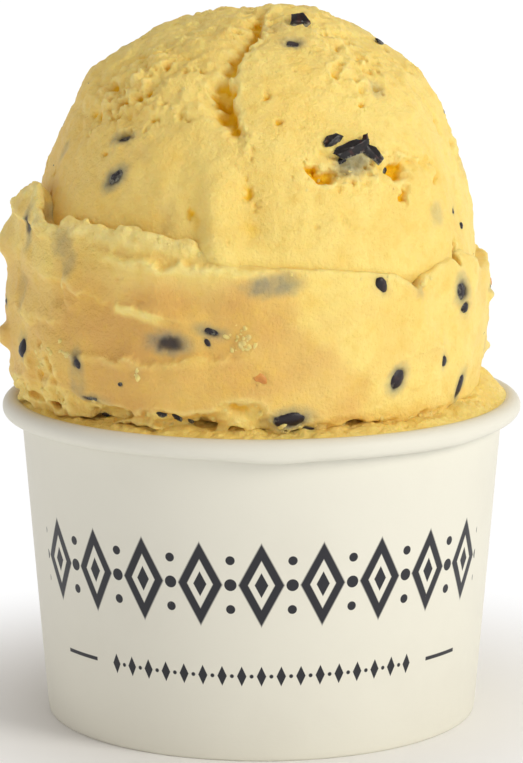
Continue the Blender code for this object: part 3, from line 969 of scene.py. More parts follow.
def bandTorn(chart, lip):
    # how torn the band is, along its lip, in patches, and here and there at the sides and the back
    z, azimuth = chart.z, chart.azimuth
    left, leftFull, right, rightEnd = band["smeared"]
    smeared = ease(azimuth, left, leftFull) * (1 - ease(azimuth, right, rightEnd))
    atLeft, atCrumbs = (chart.patch(*patch) for patch in band["tornPatches"])
    torn = 0.8 * bell(z, lip - 0.4, 1.1) * (1 - smeared) + atLeft
    sides = ease(np.abs(azimuth), 62, 85)
    torn += 0.30 * roundBell(azimuth, -75, 28) + 0.5 * ease(chart.noise(12), 0.8, 1.8) * sides
    return torn + (atCrumbs + 0.05)


def bandTan(chart, jitter, below):
    # the tan smear over the left of the front, which ends on a slant
    z, azimuth = chart.z, chart.azimuth
    turn, height, lean = band["tanEdge"]
    slant = azimuth - (turn + (height - z) * lean) + 2.5 * jitter + 1.6 * chart.noise(5)
    tan = (1 - ease(slant, -6, 5)) * (1 - 0.75 * ease(z, 74, 83))
    tan *= 0.60 + 0.40 * roundBell(azimuth, *band["tanStrongest"])
    # paler below the lip, round the back, at the crumbs on the left and over the torn foot
    tan *= 1 - 0.35 * bell(z, 80, 2.5) * roundBell(azimuth, -30, 25)
    tan *= 0.35 + 0.65 * ease(azimuth, -120, -80)
    tan *= 1 - chart.patch(-56, 62.5, 6, 3, 0.55)
    tan *= (1 - 0.8 * below) * (1 - 0.8 * roundBell(azimuth, -2, 9) * (1 - ease(z, 59, 62.5)))
    return np.clip(tan + 0.12 * chart.noise(7), 0, 1)


def shapeBand():
    chart = Relief(band["centreX"], band["profile"], band["cell"], band["seed"])
    z, azimuth = chart.z, chart.azimuth
    rough, jitter, rise = (chart.noises(layers) for layers in (tornLayers, band["jitter"], band["uneven"]))
    # pale: where crests are painted paler, as a painted highlight
    pale = np.zeros_like(rise)
    for ledge in bandLedges:
        lift, crest = ledgeRise(chart, *ledge, jitter)
        rise += lift
        pale = np.maximum(pale, crest)
    for path, high, right, left in bandFolds:
        rise += chart.ridge(path, high, (left, right), 0.25, 0.8, 0.25)
    for *oval, lump in bandLumps:
        # a dent is ragged and steep, a lump soft
        level, ragged = (0.5, 0.5) if lump < 0 else (0.1, 0.1)
        rise += chart.lump(*oval, lump, level, 1.15, ragged)
    # the upper lip is crumbly; the foot is torn, and stands back from the smeared side
    lip = roundPath(azimuth, band["lip"])
    foot = roundPath(azimuth, band["foot"]) + 0.9 * jitter + 0.35 * chart.noise(4.5)
    below = ease(foot - z, -0.25, 0.45)
    depth = roundPath(azimuth, band["footDepth"])
    crumbly = below * ease(depth, 0.2, 0.9)
    crumbs = 0.55 * chart.noise(3.6) + 0.30 * np.abs(chart.noise(1.7)) + 0.08 * rough
    rise += -depth * below + crumbly * crumbs
    rise += 0.25 * bell(foot - z, -0.5, 0.6) * ease(depth, 0.5, 1)
    torn = bandTorn(chart, lip)
    # the pale crest of the upper lip, painted paler as a highlight where it catches the light from above,
    # thickest where a flake of it folds over
    hangs = roundPath(azimuth, band["crest"])
    crest = ease(lip - z, -0.6, 0.2) * (1 - ease(lip - z + 0.9 * jitter, hangs - 0.4, hangs + 1.6))
    pale = np.maximum(pale, crest * ease(azimuth, -84, -68) * (1 - ease(azimuth, -15, -8)))
    torn = np.clip(torn + 0.7 * pale, 0, 1)
    rise += (0.14 * torn * rough + 0.03 * chart.noise(0.8) + 0.035 * chart.noise(2.2, 3.2) * (1 - torn)
             + 0.3 * pale)
    halo, dark = seedGreys(chart, bandSeeds, bandShards)
    rise -= band["seedDent"] * dark
    tan = bandTan(chart, jitter, below)
    # below 0, tan stands for the pale crests, the painted highlight
    tan -= pale * (0.65 + 0.6 * tan + 0.2 * chart.noise(1.5))
    return chart, rise, {"halo": halo, "dark": dark, "tan": tan}


def footPlace(turn, height):
    # a place on the band's foot
    return (band["centreX"] + band["footRadius"] * math.sin(math.radians(turn)),
            -band["footRadius"] * math.cos(math.radians(turn)), height)


def sculptBand(block):
    x, y, z = block.x - band["centreX"], block.y, block.z
    across = np.hypot(x, y)
    azimuth = np.degrees(np.arctan2(x, -y))
    chart, rise, charts = shapeBand()
    radii, heights = zip(*band["profile"])
    radius = np.interp(block.z[0, 0], heights[::-1], radii[::-1]).astype(np.float32)[None, None, :]
    field = across - radius
    chart.lift(field, rise, azimuth, np.broadcast_to(z, field.shape), 6)
    small, medium = block.noise(1.6), block.noise(4.5)
    # the upper lip, with the valley between it and the dome
    turn = azimuth[:, :, :1]
    crumbly = 0.25 + 0.75 * (1 - ease(turn, -14, -2)) * ease(turn, -110, -75)
    crumbly += 0.5 * ease(np.abs(turn), 90, 110)
    lip = roundPath(turn, band["lip"]) + crumbly * (0.30 * small + 0.24 * block.noise(0.85))
    valley = 0.1
    for middle, wide, deep in band["valleys"]:
        valley = valley + deep * roundBell(turn, middle, wide)
    top = z - lip + valley * ease(-field, 0.5, 3.6)
    field = softMax(field, top, 0.55 + 1.4 * roundBell(turn, 72, 20))
    # the underside follows the fill, with caves where it lifts
    centred = np.hypot(block.x[:, :, :1], block.y[:, :, :1])
    under = band["underside"] + 0.5 * medium + 0.4 * small
    under = under + (fillTop(centred) + 0.3 - under) * (1 - ease(centred, fill["ringInside"], 37))
    field = softMax(field, under - z, 0.6)
    for turn, height, wide, high, deep in footCaves:
        part = block.near(footPlace(turn, height), wide / 2 + deep + 1)
        lateral = np.radians(turnFrom(azimuth[part], turn)) * band["footRadius"]
        shape = (lateral * 2 / wide) ** 2 + ((z[part] - height) * 2 / high) ** 2
        cave = np.sqrt(shape + ((across[part] - band["caveRadius"]) / deep) ** 2)
        field[part] = softMax(field[part], (1 - cave) * high / 2 + 0.32 * small[part], 0.3)
    # the dark gap beside the lump at the right
    turn, height, wide, high = band["gap"]
    middle, deep = band["gapInside"]
    part = block.near(footPlace(turn, height + 0.2), 4)
    lateral = np.radians(azimuth[part] - turn) * band["footRadius"] + 0.25 * (z[part] - 80)
    shape = (lateral / wide) ** 2 + ((z[part] - height) / high) ** 2
    gap = np.sqrt(shape + ((across[part] - middle) / deep) ** 2)
    field[part] = softMax(field[part], (1 - gap) * 0.6 + 0.15 * small[part], 0.3)
    # seated on the dome
    _, _, inside = domeSurface(block.x, block.y, block.z)
    return np.maximum(field, -inside - 0.3), chart, charts


def bandSpot(points):
    return np.degrees(np.arctan2(points[:, 0] - band["centreX"], -points[:, 1])), points[:, 2]


def fillTop(across):
    # height of the fill's top at a distance from the axis
    return fill["edgeHeight"] + fill["crown"] * (1 - np.minimum(across / fill["edgeRadius"], 1) ** 4)


fill = {
    "edgeHeight": 54.2,
    "edgeRadius": 41,
    "crown": 2.1,  # how much it rises towards the middle
    "steps": 900,
    "overBottom": 0.35,
    "rimGap": 0.75,
    "ringInside": 34.0,  # the torn ring starts here, and is smooth within the next radius
    "smoothInside": 28,
    "heaps": [(103, 30, 3.6), (150, 30, 1.2), (-140, 40, 0.9)],  # beside the band: azimuth, width, height
    "seed": 21,
}


def sculpt(name, node, settings, shape, locate):
    low, high = (np.array(corner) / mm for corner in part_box(node))
    block = Block(low - settings["grow"], high + settings["grow"], settings["step"], settings["seed"])
    field, chart, charts = shape(block)
    points, faces = largestPart(*block.surface(field))
    made = addMesh(name, (points * mm).tolist(), faces.tolist())
    slim(made, settings["triangles"])
    points = np.empty(len(made.data.vertices) * 3, np.float32)
    made.data.vertices.foreach_get("co", points)
    points = points.reshape(-1, 3) / mm
    # what the finish needs to know at each point: what the charts say, and how hollow the surface is, which
    # sets the painted shade in its recesses and the painted highlight on its raised edges
    turn, height = locate(points)
    values = {label: chart.sample(drawn, turn, height) for label, drawn in charts.items()}
    for label, limit, radius in (("hollow", 2.5, 0.8), ("dip", 4, 2.2)):
        smooth = block.blurred(np.clip(field, -limit, limit), radius)
        values[label] = block.sample(smooth, points, 2 * block.step)
    marked(made, **values)
    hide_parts(node)
    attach(made, "root")
    print(name, "sculpted,", len(made.data.polygons), "triangles")
    return made


upper = sculpt("gelatoUpper", "scoop_upper", dome, sculptDome, domeSpot)
lower = sculpt("gelatoLower", "scoop_lower", band, sculptBand, bandSpot)

cream = {
    "light": (255, 225, 132),
    "mottled": (242, 200, 92),
    # deep: the golden painted shade of recesses, where light falls off and scatters in the cream
    "deep": (250, 197, 6),
    "pale": (255, 232, 152),
    "tan": (227, 178, 98),
    "grey": (122, 130, 120),
    "dark": (40, 32, 40),
    "hollows": 0.42,  # how much painted shade, a deeper gold, the small recesses get, and the wide ones
    "pockets": 0.66,
}


def creamPaint(name, look):
    paint = Paint(name, {
        "Roughness": 0.5,
        "Subsurface Weight": 0.3,
        "Subsurface Radius": (1.0, 0.62, 0.25),
        "Subsurface Scale": 0.0018,
        "Specular IOR Level": 0.3,
    })
    hollow, dip, tan = paint.attribute("hollow"), paint.attribute("dip"), paint.attribute("tan")
    halo, dark = paint.attribute("halo"), paint.attribute("dark")
    mottle = paint.noise(0.011, 3, 0.6)
    speckle = paint.noise(0.0022, 4, 0.65)
    # tan: the smear over the band's front, and on the dome's left a painted shade
    colour = paint.mix(tan, shade(*look["light"]), shade(*look["tan"]))
    patchy = mottle.ramp(0.4, 0.7) * 0.35 + speckle.ramp(0.45, 0.7) * 0.3
    colour = paint.mix(patchy, colour, shade(*look["mottled"]))
    # below 0, tan turns the colour pale: the painted highlight on the band's crests, and the crumbs' paler
    # colour
    colour = paint.mix(0 - tan, colour, shade(*look["pale"]))
    # painted shade: recesses, small and wide, are turned a deeper gold
    sunk = (0 - hollow).ramp(0.12, 0.8) * look["hollows"] + (0 - dip).ramp(0.2, 1.0) * look["pockets"]
    colour = paint.mix(sunk, colour, shade(*look["deep"]))
    # painted highlight: raised edges and crests are turned paler
    colour = paint.mix(hollow.ramp(0.12, 0.55) * 0.5, colour, shade(*look["pale"]))
    colour = paint.mix(halo * 0.66, colour, shade(*look["grey"]))
    colour = paint.mix(dark, colour, shade(*look["dark"]))
    grain = paint.noise(0.0006, 4, 0.65)
    crystals = paint.noise(0.0002, 2, 0.6)
    normal = paint.bump(grain, 0.0005, 0.9)
    normal = paint.bump(crystals, 0.0002, 0.5, normal)
    return paint.finish({
        "Base Color": colour,
        "Roughness": 0.45 + 0.2 * grain,
        "Normal": normal,
    })


upper.data.materials.append(creamPaint("creamUpper", cream))
lower.data.materials.append(creamPaint("creamLower", {**cream, "hollows": 0.3, "pockets": 0.36}))
print("gelato sculpted")

# The paper cup

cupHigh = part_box("cup_wall")[1]
cup = {
    "steps": 360,
    "bottomSteps": 180,
    "rimRadius": cupHigh.x / mm,
    "height": cupHigh.z / mm,
    "rollRadius": 1.75,
    "paper": 0.42,
    "footRadius": 36.6,
    "bottomHeight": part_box("cup_bottom")[1].z / mm,
    "hemHeight": 6.5,
    "hemDepth": 1.6,  # from the outside to the back of the folded foot's inner layer
    "foldDepth": 2.1,
    "footCorner": 0.35,
    "rollDip": 0.42,  # the rim's curl hangs a little lower here, at the front
    "rollDipAzimuth": 2.5,
    "lap": 0.3,  # the side seam's overlap, down the back
    "lapAzimuth": 180,
    "wobble": 0.10,  # how oval the mouth is
}


def lathe(name, outline, steps, closed, shift=None):
    # an outline of (radius, height) turned round the axis; shift(azimuth, radius, height) moves each point
    azimuth = np.arange(steps) * 360 / steps
    radius, height = np.array(outline, float).T
    turn, radius = np.meshgrid(azimuth, radius)
    height = np.repeat(height[:, None], steps, axis=1)
    if shift:
        radius, height = shift((turn + 180) % 360 - 180, radius, height)
    points = np.stack([radius * np.sin(np.radians(turn)), -radius * np.cos(np.radians(turn)), height], -1)
    points = points.reshape(-1, 3)
    faces = []
    rows = len(outline)
    for row in range(rows if closed else rows - 1):
        faces += ringFaces(row * steps, (row + 1) % rows * steps, steps)
    if not closed:
        faces.append(tuple(range(steps)))
        faces.append(tuple((rows - 1) * steps + i for i in reversed(range(steps))))
    return addMesh(name, (points * mm).tolist(), faces)


def wallRadius(height, depth=0.0):
    neckHeight = cup["height"] - cup["rollRadius"]
    neckRadius = cup["rimRadius"] - 2 * cup["rollRadius"] + cup["paper"]
    return cup["footRadius"] + (neckRadius - cup["footRadius"]) * height / neckHeight - depth


def rollArc(radius, start, end, count):
    centre, height = cup["rimRadius"] - cup["rollRadius"], cup["height"] - cup["rollRadius"]
    angles = np.radians(np.linspace(start, end, count))
    return [(centre + radius * math.cos(a), height + radius * math.sin(a)) for a in angles]


def shiftWall(azimuth, radius, height):
    # the small unevenness of a real cup: an oval mouth, a curl that dips, a lapped seam
    centre, middle = cup["rimRadius"] - cup["rollRadius"], cup["height"] - cup["rollRadius"]
    neck = cup["height"] - 2 * cup["rollRadius"]
    outside = ease(radius, wallRadius(height, 0.3), wallRadius(height, 0.1)) * (height > 1)
    below = ease(middle - height, -0.2, 1.2) * ease(radius, centre - 1.4, centre)
    dip = cup["rollDip"] * bell(azimuth, cup["rollDipAzimuth"], 7)
    dip += 0.12 * np.sin(np.radians(3 * azimuth + 20))
    dip += 0.10 * bell(azimuth, -38, 10) + 0.16 * bell(azimuth, 46, 9)
    height = height - dip * below
    radius = radius + cup["wobble"] * np.sin(np.radians(2 * azimuth + 35)) * ease(height, 10, neck)
    fold = azimuth % 360 - cup["lapAzimuth"]
    lap = cup["lap"] * ease(fold, -8.5, -7.5) * (1 - ease(fold, -0.35, 0.1))
    return radius + lap * outside * (height < neck + 0.5), height


def wallOutline():
    # the roll from inside to out and back under, down the outside, round the folded foot and up the inside
    paper, roll, foot, top = cup["paper"], cup["rollRadius"], cup["footRadius"], cup["hemHeight"]
    hem, fold, corner = cup["hemDepth"], cup["foldDepth"], cup["footCorner"]
    outline = rollArc(roll, 180, -115, 34) + rollArc(roll - paper, -115, 172, 22)
    outline += [(wallRadius(z), z) for z in np.linspace(48, 1.2, 26)]
    outline += [(foot, 0.5), (foot - 0.12, 0.12), (foot - corner, 0)]
    outline += [(foot - fold + corner, 0), (foot - fold + 0.1, 0.12)]
    outline += [(wallRadius(z, fold), z) for z in (0.5, 3, top - 0.15)]
    outline += [(wallRadius(top, fold - 0.15), top), (wallRadius(top, hem), top)]
    outline += [(wallRadius(z, hem), z) for z in (3, 0.6)]
    outline += [(wallRadius(z, paper), z) for z in np.linspace(0.6, 51.5, 14)]
    return outline


def bottomOutline():
    # a disc that sags a little, with a flange turned down inside the folded foot
    high, paper = cup["bottomHeight"], cup["paper"]
    outer, inner, foot = 0.75, 0.75 + paper, 0.9
    dish = [(2, high - 0.25), (12, high - 0.22), (24, high - 0.12)]
    edge = wallRadius(high, outer)
    side = [(32, high - 0.02), (edge - 0.6, high), (edge - 0.15, high - 0.15)]
    side += [(wallRadius(z, outer), z) for z in (high - 0.6, 4.5, foot)]
    side += [(wallRadius(z, inner), z) for z in (foot, 4.5, high - 1.0)]
    side += [(wallRadius(high, inner) - 0.4, high - 0.45)]
    under = [(radius, height - paper) for radius, height in dish + [(32, high - 0.05)]]
    return dish + side + under[::-1]


cupLook = {
    "paper": (224, 221, 207),
    "shadow": (214, 210, 196),
    "ink": (34, 34, 40),
    "bandHeight": 30.0,  # middle of the row of large lozenges, mm
    "bandPitch": 10.0,
    "bandCount": 4,  # lozenges to each side of the middle one
    "bandHalf": (3.7, 7.0),  # half the width and height of a lozenge, of the hole in it and of its heart
    "bandHole": (2.15, 4.1),
    "bandHeart": (1.1, 2.1),
    "bandDots": ((4.1, 0.75), (0, 1.0)),  # height over the middle, and radius
    "lineHeight": 14.6,
    "linePitch": 3.3,
    "lineCount": 8,
    "lineHalf": (0.8, 1.7),
    "lineDot": 0.34,
    "dashFrom": 31.0,
    "dashTo": 39.0,
    "dashHalf": 0.32,  # half its height
    "printRadius": 39.0,
    "edge": 0.05,  # softness of the print's edges
}


def ornament(paint, look):
    # printed lozenges and dots, measured in millimetres round and up the wall
    azimuth = paint.axis("X").angle(0 - paint.axis("Y"))
    around, height = azimuth * look["printRadius"], paint.axis("Z") / mm

    def repeated(pitch, offset):
        return ((around + (offset + 100.5 * pitch)) % pitch - pitch / 2).absolute()

    def within(value, limit):
        return 1 - value.ramp(limit - look["edge"], limit + look["edge"])

    def lozenge(along, up, wide, high):
        return within(along / wide + up / high, 1.0)

    def dot(along, up, radius):
        return within(along * along + up * up, radius * radius)

    up = (height - look["bandHeight"]).absolute()
    pitch = look["bandPitch"]
    main, between = repeated(pitch, 0), repeated(pitch, pitch / 2)
    outer, hole, heart = (lozenge(main, up, *look[part]) for part in ("bandHalf", "bandHole", "bandHeart"))
    points = sum(dot(between, up - over, radius) for over, radius in look["bandDots"])
    ends = look["bandCount"] * pitch + pitch / 2 - 0.5
    band = (outer * (1 - hole) + heart + points) * within(around.absolute(), ends)
    up = (height - look["lineHeight"]).absolute()
    pitch = look["linePitch"]
    main, between = repeated(pitch, 0), repeated(pitch, pitch / 2)
    line = lozenge(main, up, *look["lineHalf"]) + dot(between, up, look["lineDot"])
    ends = look["lineCount"] * pitch + pitch / 2 - 0.4
    line = line * within(around.absolute(), ends)
    middle, half = (look["dashFrom"] + look["dashTo"]) / 2, (look["dashTo"] - look["dashFrom"]) / 2
    dash = within((around.absolute() - middle).absolute(), half) * within(up, look["dashHalf"])
    return (band + line + dash).least(1)


def paperPaint(name, look, printed):
    paint = Paint(name, {"Specular IOR Level": 0.4})
    smudge = paint.noise(0.022, 4, 0.6).ramp(0.45, 0.8)
    colour = paint.mix(smudge * 0.35, shade(*look["paper"]), shade(*look["shadow"]))
    fibres = paint.noise(0.0011, 4, 0.7, (1, 1, 2.2))
    waves = paint.noise(0.009, 2, 0.5)
    roughness = 0.5 + 0.16 * fibres
    if printed:
        ink = ornament(paint, look)
        worn = paint.noise(0.0016, 3, 0.7).ramp(0.70, 0.82)
        ink = ink * (1 - 0.25 * worn)
        colour = paint.mix(ink, colour, shade(*look["ink"]))
        roughness = roughness - 0.14 * ink
    normal = paint.bump(fibres, 0.0002, 0.12)
    normal = paint.bump(waves, 0.0006, 0.25, normal)
    return paint.finish({"Base Color": colour, "Roughness": roughness, "Normal": normal})


cupWall = lathe("cupWall", wallOutline(), cup["steps"], True, shiftWall)
cupWall.data.materials.append(paperPaint("printedPaper", cupLook, True))
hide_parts("cup_wall")
cupBottom = lathe("cupBottom", bottomOutline(), cup["bottomSteps"], False)
cupBottom.data.materials.append(paperPaint("plainPaper", cupLook, False))
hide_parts("cup_bottom")
for piece in (cupWall, cupBottom):
    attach(piece, "root")
print("cup made")

# The fill: what shows of it is a torn ring between the band's foot and the rim

def makeFill():
    floor, inner = cup["bottomHeight"] + fill["overBottom"], fill["ringInside"]
    edge = cup["rimRadius"] - cup["rollRadius"] - fill["rimGap"]
    outline = [(3, floor), (18, floor), (wallRadius(floor, 0.9), floor)]
    outline += [(wallRadius(z, 0.7), z) for z in (floor + 0.6, 18, 30, 42, 50)]
    lower = len(outline)
    outline += [(wallRadius(52, 0.6), 51.8)] + [(radius, 0) for radius in np.linspace(edge, inner, 34)]
    outline += [(radius, 0) for radius in (fill["smoothInside"], 14, 3)]

    def shift(azimuth, radius, height):
        # gives the top its rough heights
        x, y = radius * np.sin(np.radians(azimuth)), -radius * np.cos(np.radians(azimuth))
        flat = np.stack([x, y, np.zeros_like(x)], -1).reshape(-1, 3)
        coarse, medium, fine, finest = (3 * gradientNoise(flat, size, fill["seed"] + i).reshape(x.shape)
                                        for i, size in enumerate((5.0, 2.6, 1.2, 0.6)))
        inward = (edge - radius) / (edge - inner)
        top = fillTop(radius) - 0.1 * (1 - ease(inward, 0, 0.25))
        rough = ease(radius, fill["smoothInside"], inner)
        torn = 0.40 * coarse + 0.34 * np.abs(medium) + 0.10 * fine + 0.04 * finest
        top += rough * torn * (0.3 + 0.7 * ease(inward, 0, 0.2))
        heap = sum(high * roundBell(azimuth, middle, wide) for middle, wide, high in fill["heaps"])
        top += heap * ease(inward, -0.15, 0.65) * rough
        return radius, np.where(np.arange(len(outline))[:, None] > lower, top, height)

    return lathe("gelatoFill", outline, fill["steps"], False, shift)


fillPiece = makeFill()
marked(fillPiece, tan=0.0, hollow=-0.05)
fillPiece.data.materials.append(creamPaint("creamFill", cream))
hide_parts("gelato_fill")
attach(fillPiece, "root")
print("fill made")

# Seeds, broken shell, specks, pulp and crumbs, laid on the gelato's own surface

def surfaceTree(*pieces):
    points, faces = [], []
    for piece in pieces:
        start = len(points)
        points += [vertex.co.copy() for vertex in piece.data.vertices]
        faces += [[start + i for i in face.vertices] for face in piece.data.polygons]
    return BVHTree.FromPolygons(points, faces)


gelatoTree = surfaceTree(upper, lower)


def findSpot(azimuth, height, onDome, lean=0.5):
    # a frame on the gelato's surface: across, up, out and the place itself
    turn = math.radians(azimuth)
    if onDome:
        rise = height - dome["centreHeight"]
        radius = dome["radius"] * math.sqrt(max(1 - (rise / domeTall) ** 2, 0))
        outward, upward = radius / dome["radius"] ** 2, rise / domeTall**2
        centreX = dome["centreX"]
    else:
        radius, outward, upward, centreX = band["radius"], 1, 0, band["centreX"]
    out = Vector((math.sin(turn) * outward, -math.cos(turn) * outward, upward)).normalized()
    place = Vector((centreX + radius * math.sin(turn), -radius * math.cos(turn), height)) * mm
    hit, normal, _, _ = gelatoTree.ray_cast(place + out * 8 * mm, -out, 16 * mm)
    if hit is None:
        return None
    if normal.dot(out) < 0:
        normal = -normal
    out = out.lerp(normal, lean).normalized()
    across = Vector((math.cos(turn), math.sin(turn), 0))
    across = (across - out * across.dot(out)).normalized()
    return across, out.cross(across), out, hit


def laid(points, spot, turn, sunk, tilt=0.0):
    # points in millimetres, turned on the surface, tipped and sunk in, with their heights above the cream
    across, up, out, place = spot
    points = points @ np.array(Matrix.Rotation(math.radians(turn), 3, "Z")).T
    points = points @ np.array(Matrix.Rotation(math.radians(tilt), 3, "X")).T - [0, 0, sunk]
    there = np.array(Matrix((across, up, out)))
    return points @ there * mm + np.array(place), points[:, 2]


def pebble(subdivisions):
    ball = bmesh.new()
    bmesh.ops.create_icosphere(ball, subdivisions=subdivisions, radius=1)
    points = np.array([vertex.co[:] for vertex in ball.verts])
    faces = np.array([[vertex.index for vertex in face.verts] for face in ball.faces])
    ball.free()
    return points, faces


def lump(shape, random, long, wide, thick, dents, taper=0.0):
    # a pebble stretched and dented, narrower at one end
    points, faces = shape
    shift = random.uniform(0, 30, 3)
    dent = gradientNoise(points + shift, 0.9, 3) + 0.7 * gradientNoise(points + shift, 0.38, 4)
    points = points * (1 + dents * dent)[:, None]
    points = points * [long / 2, wide / 2, thick / 2]
    points[:, 1:] *= (1 - taper * points[:, :1] / (long / 2))
    return points, faces


def shell(random, long, wide, bent):
    # a broken plate of seed shell, with a few straight edges and a fold along it
    corners = random.integers(5, 8)
    angles = (np.arange(corners) + random.uniform(-0.3, 0.3, corners)) / corners * math.tau
    reach = random.uniform(0.7, 1.1, corners)
    edge = np.stack([np.cos(angles) * reach * long / 2, np.sin(angles) * reach * wide / 2], -1)
    steps = 5
    share = np.arange(steps)[None, :, None] / steps
    outline = (edge[:, None] * (1 - share) + np.roll(edge, -1, 0)[:, None] * share).reshape(-1, 2)
    outline += random.normal(0, 0.03, outline.shape)
    rings, thinning = (0.12, 0.4, 0.7, 0.92, 1.0), (1, 1, 1, 0.85, 0.4)
    count = len(outline)
    flat = np.concatenate([outline * ring for ring in rings])
    fold = flat[:, 1] + 0.35 * flat[:, 0] * random.uniform(-1, 1)
    height = -bent * (0.55 * np.abs(fold) + 0.25 * (2 * flat[:, 0] / long) ** 2)
    solid = np.concatenate([flat, np.zeros((len(flat), 1))], 1)
    height += 0.10 * gradientNoise(solid + random.uniform(0, 9), 0.7, 6)
    thick = 0.20 * np.repeat(thinning, count)
    top = np.column_stack([flat, height + thick])
    bottom = np.column_stack([flat, height - thick])
    points = np.concatenate([top, bottom])
    points[:, 2] += 0.25 * bent * wide
    faces = []
    for side, start in ((1, 0), (-1, len(flat))):
        faces.append(tuple(range(start, start + count))[::-side])
        for ring in range(len(rings) - 1):
            around = ringFaces(start + ring * count, start + (ring + 1) * count, count)
            faces += [face[::side] for face in around]
    rim = (len(rings) - 1) * count
    return points, faces + ringFaces(rim, len(flat) + rim, count)


def joined(name, shapes, sharpest=None):
    points, above, faces, start = [], [], [], 0
    for (some, over), few in shapes:
        points.append(some)
        above.append(over)
        faces += [[int(i) + start for i in face] for face in few]
        start += len(some)
    made = addMesh(name, np.concatenate(points).tolist(), faces)
    marked(made, above=np.concatenate(above))
    if sharpest:
        made.data.set_sharp_from_angle(angle=math.radians(sharpest))
    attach(made, "root")
    print(name, "made,", sum(len(face) - 2 for face in faces), "triangles")
    return made


def makeSeeds(random):
    shape = pebble(3)
    shapes = []
    for rows, onDome in ((domeSeeds, True), (bandSeeds, False)):
        for azimuth, height, long, wide, turn, shows, _ in rows:
            if shows == 0:
                continue
            spot = findSpot(azimuth, height, onDome)
            thick = 0.62 * wide
            points, faces = lump(shape, random, 1.02 * long, wide, thick, 0.16, 0.18)
            shapes.append((laid(points, spot, turn, (0.62 - shows) * thick, random.uniform(-14, 14)), faces))
    return joined("seeds", shapes)


def makeShells(random):
    shapes = []
    for rows, onDome in ((domeShards, True), (bandShards, False)):
        for azimuth, height, long, wide, turn, stands, bent, tilt in rows:
            points, faces = shell(random, long, wide, bent)
            spot = findSpot(azimuth, height, onDome, 0.2)
            shapes.append((laid(points, spot, turn, 0.25 - 0.55 * stands, tilt), faces))
    return joined("seedShells", shapes, 28)


def makeSpecks(random):
    shape = pebble(2)
    shapes = []
    for i in range(inclusions["specks"]):
        onDome = i % 3 == 0
        azimuth = random.uniform(70, 285)
        spot = findSpot(azimuth, random.uniform(*((84, 118) if onDome else (57, 80))), onDome)
        size = random.uniform(0.2, 0.5) * random.choice([0.7, 1.0])
        points, faces = lump(shape, random, size * random.uniform(1, 2.2), size, 0.5 * size, 0.4)
        shapes.append((laid(points, spot, random.uniform(-90, 90), 0.12 * size), faces))
    return joined("seedSpecks", shapes)


def scattered(random, groups):
    return [(random.normal(azimuth, wide), random.normal(height, high), random.uniform(*sizes))
            for azimuth, height, wide, high, sizes, count in groups for _ in range(count)]


def crumbSpots(random):
    # crumbs lie along the upper lip, under the foot, round the torn places and here and there
    spots = inclusions["looseCrumbs"] + scattered(random, inclusions["bandCrumbs"])
    for _ in range(inclusions["lipCrumbs"]):
        azimuth = random.uniform(-180, 180)
        height = float(roundPath(azimuth, band["lip"])) - random.uniform(0.2, 1.2)
        spots.append((azimuth, height, random.uniform(0.3, 0.8)))
    for _ in range(inclusions["footCrumbs"]):
        azimuth = random.uniform(-180, 180)
        height = float(roundPath(azimuth, band["foot"])) - random.uniform(-0.4, 2.4)
        spots.append((azimuth, height, random.uniform(0.4, 1.2)))
    high = scattered(random, inclusions["domeCrumbs"])
    for _ in range(inclusions["backCrumbs"]):
        high.append((random.uniform(90, 270), random.uniform(86, 116), random.uniform(0.3, 0.7)))
    return [(*spot, False) for spot in spots] + [(*spot, True) for spot in high]


def makeCrumbs(random):
    shape = pebble(2)
    shapes = []
    for azimuth, height, size, onDome in crumbSpots(random):
        spot = findSpot(azimuth, min(height, 118.5), onDome, 0.7)
        if spot is None:
            continue
        points, faces = lump(shape, random, size * random.uniform(1, 1.8), size, 0.7 * size, 0.45)
        turn, tilt = random.uniform(-90, 90), random.uniform(-30, 30)
        shapes.append((laid(points, spot, turn, 0.18 * size, tilt), faces))
    return joined("gelatoCrumbs", shapes)


def makePulp(random):
    shape = pebble(3)
    rows = inclusions["pulp"] + [
        (azimuth, random.uniform(60, 79), random.uniform(0.9, 2.2), 0.9, random.uniform(-60, 60))
        for azimuth in inclusions["hiddenPulp"]]
    shapes = []
    for azimuth, height, long, wide, turn in rows:
        points, faces = lump(shape, random, long, wide, 0.7, 0.4)
        shapes.append((laid(points, findSpot(azimuth, height, False), turn, 0.12), faces))
    return joined("pulpFlecks", shapes)


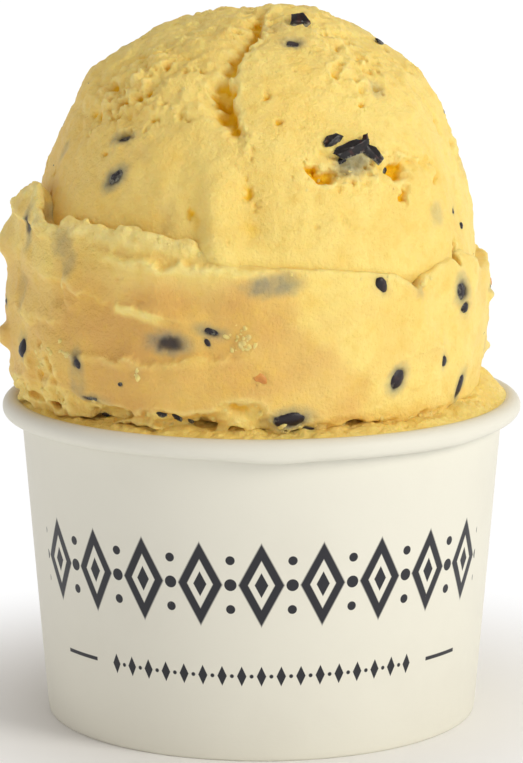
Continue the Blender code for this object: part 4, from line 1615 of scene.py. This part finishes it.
seedLook = {  # colour, the brown in it, roughness
    "seedSkin": ((32, 24, 30), (62, 42, 40), 0.42),
    "shellSkin": ((16, 10, 10), (74, 30, 22), 0.34),
    "speckSkin": ((66, 58, 40), (52, 40, 34), 0.5),
    "clingingCream": (142, 140, 122),
}
pulpLook = {"light": (208, 132, 44), "deep": (184, 110, 34), "edge": (226, 178, 98)}


def seedPaint(name, look):
    base, brown, roughness = look[name]
    paint = Paint(name, {"Specular IOR Level": 0.3, "Coat Roughness": 0.25})
    streak = paint.noise(0.0014, 3, 0.6)
    colour = paint.mix(streak.ramp(0.5, 0.75) * 0.8, shade(*base), shade(*brown))
    # cream clings to it, most where it leaves the gelato
    dust = (paint.noise(0.0007, 4, 0.7) - paint.attribute("above") * 0.55).ramp(0.34, 0.58)
    colour = paint.mix(dust * 0.8, colour, shade(*look["clingingCream"]))
    grain = paint.noise(0.0003, 2, 0.5)
    return paint.finish({
        "Base Color": colour,
        "Roughness": roughness + 0.35 * dust,
        "Coat Weight": (1 - dust) * 0.12,
        "Normal": paint.bump(grain, 0.0001, 0.5),
    })


def pulpPaint(look):
    paint = Paint("pulp", {"Roughness": 0.4, "Subsurface Weight": 0.15, "Subsurface Scale": 0.0008})
    patchy = paint.noise(0.0012, 3).ramp(0.35, 0.7)
    colour = paint.mix(patchy, shade(*look["light"]), shade(*look["deep"]))
    edge = (0.35 - paint.attribute("above")).ramp(0.0, 0.3)
    colour = paint.mix(edge * 0.3, colour, shade(*look["edge"]))
    return paint.finish({"Base Color": colour})


scatter = np.random.default_rng(inclusions["seed"] + 1)
seeds = makeSeeds(scatter)
seeds.data.materials.append(seedPaint("seedSkin", seedLook))
shells = makeShells(scatter)
shells.data.materials.append(seedPaint("shellSkin", seedLook))
specks = makeSpecks(scatter)
specks.data.materials.append(seedPaint("speckSkin", seedLook))
crumbs = makeCrumbs(scatter)
marked(crumbs, tan=-0.35)
crumbs.data.materials.append(creamPaint("creamCrumbs", cream))
pulp = makePulp(scatter)
pulp.data.materials.append(pulpPaint(pulpLook))
print("seeds and crumbs laid")
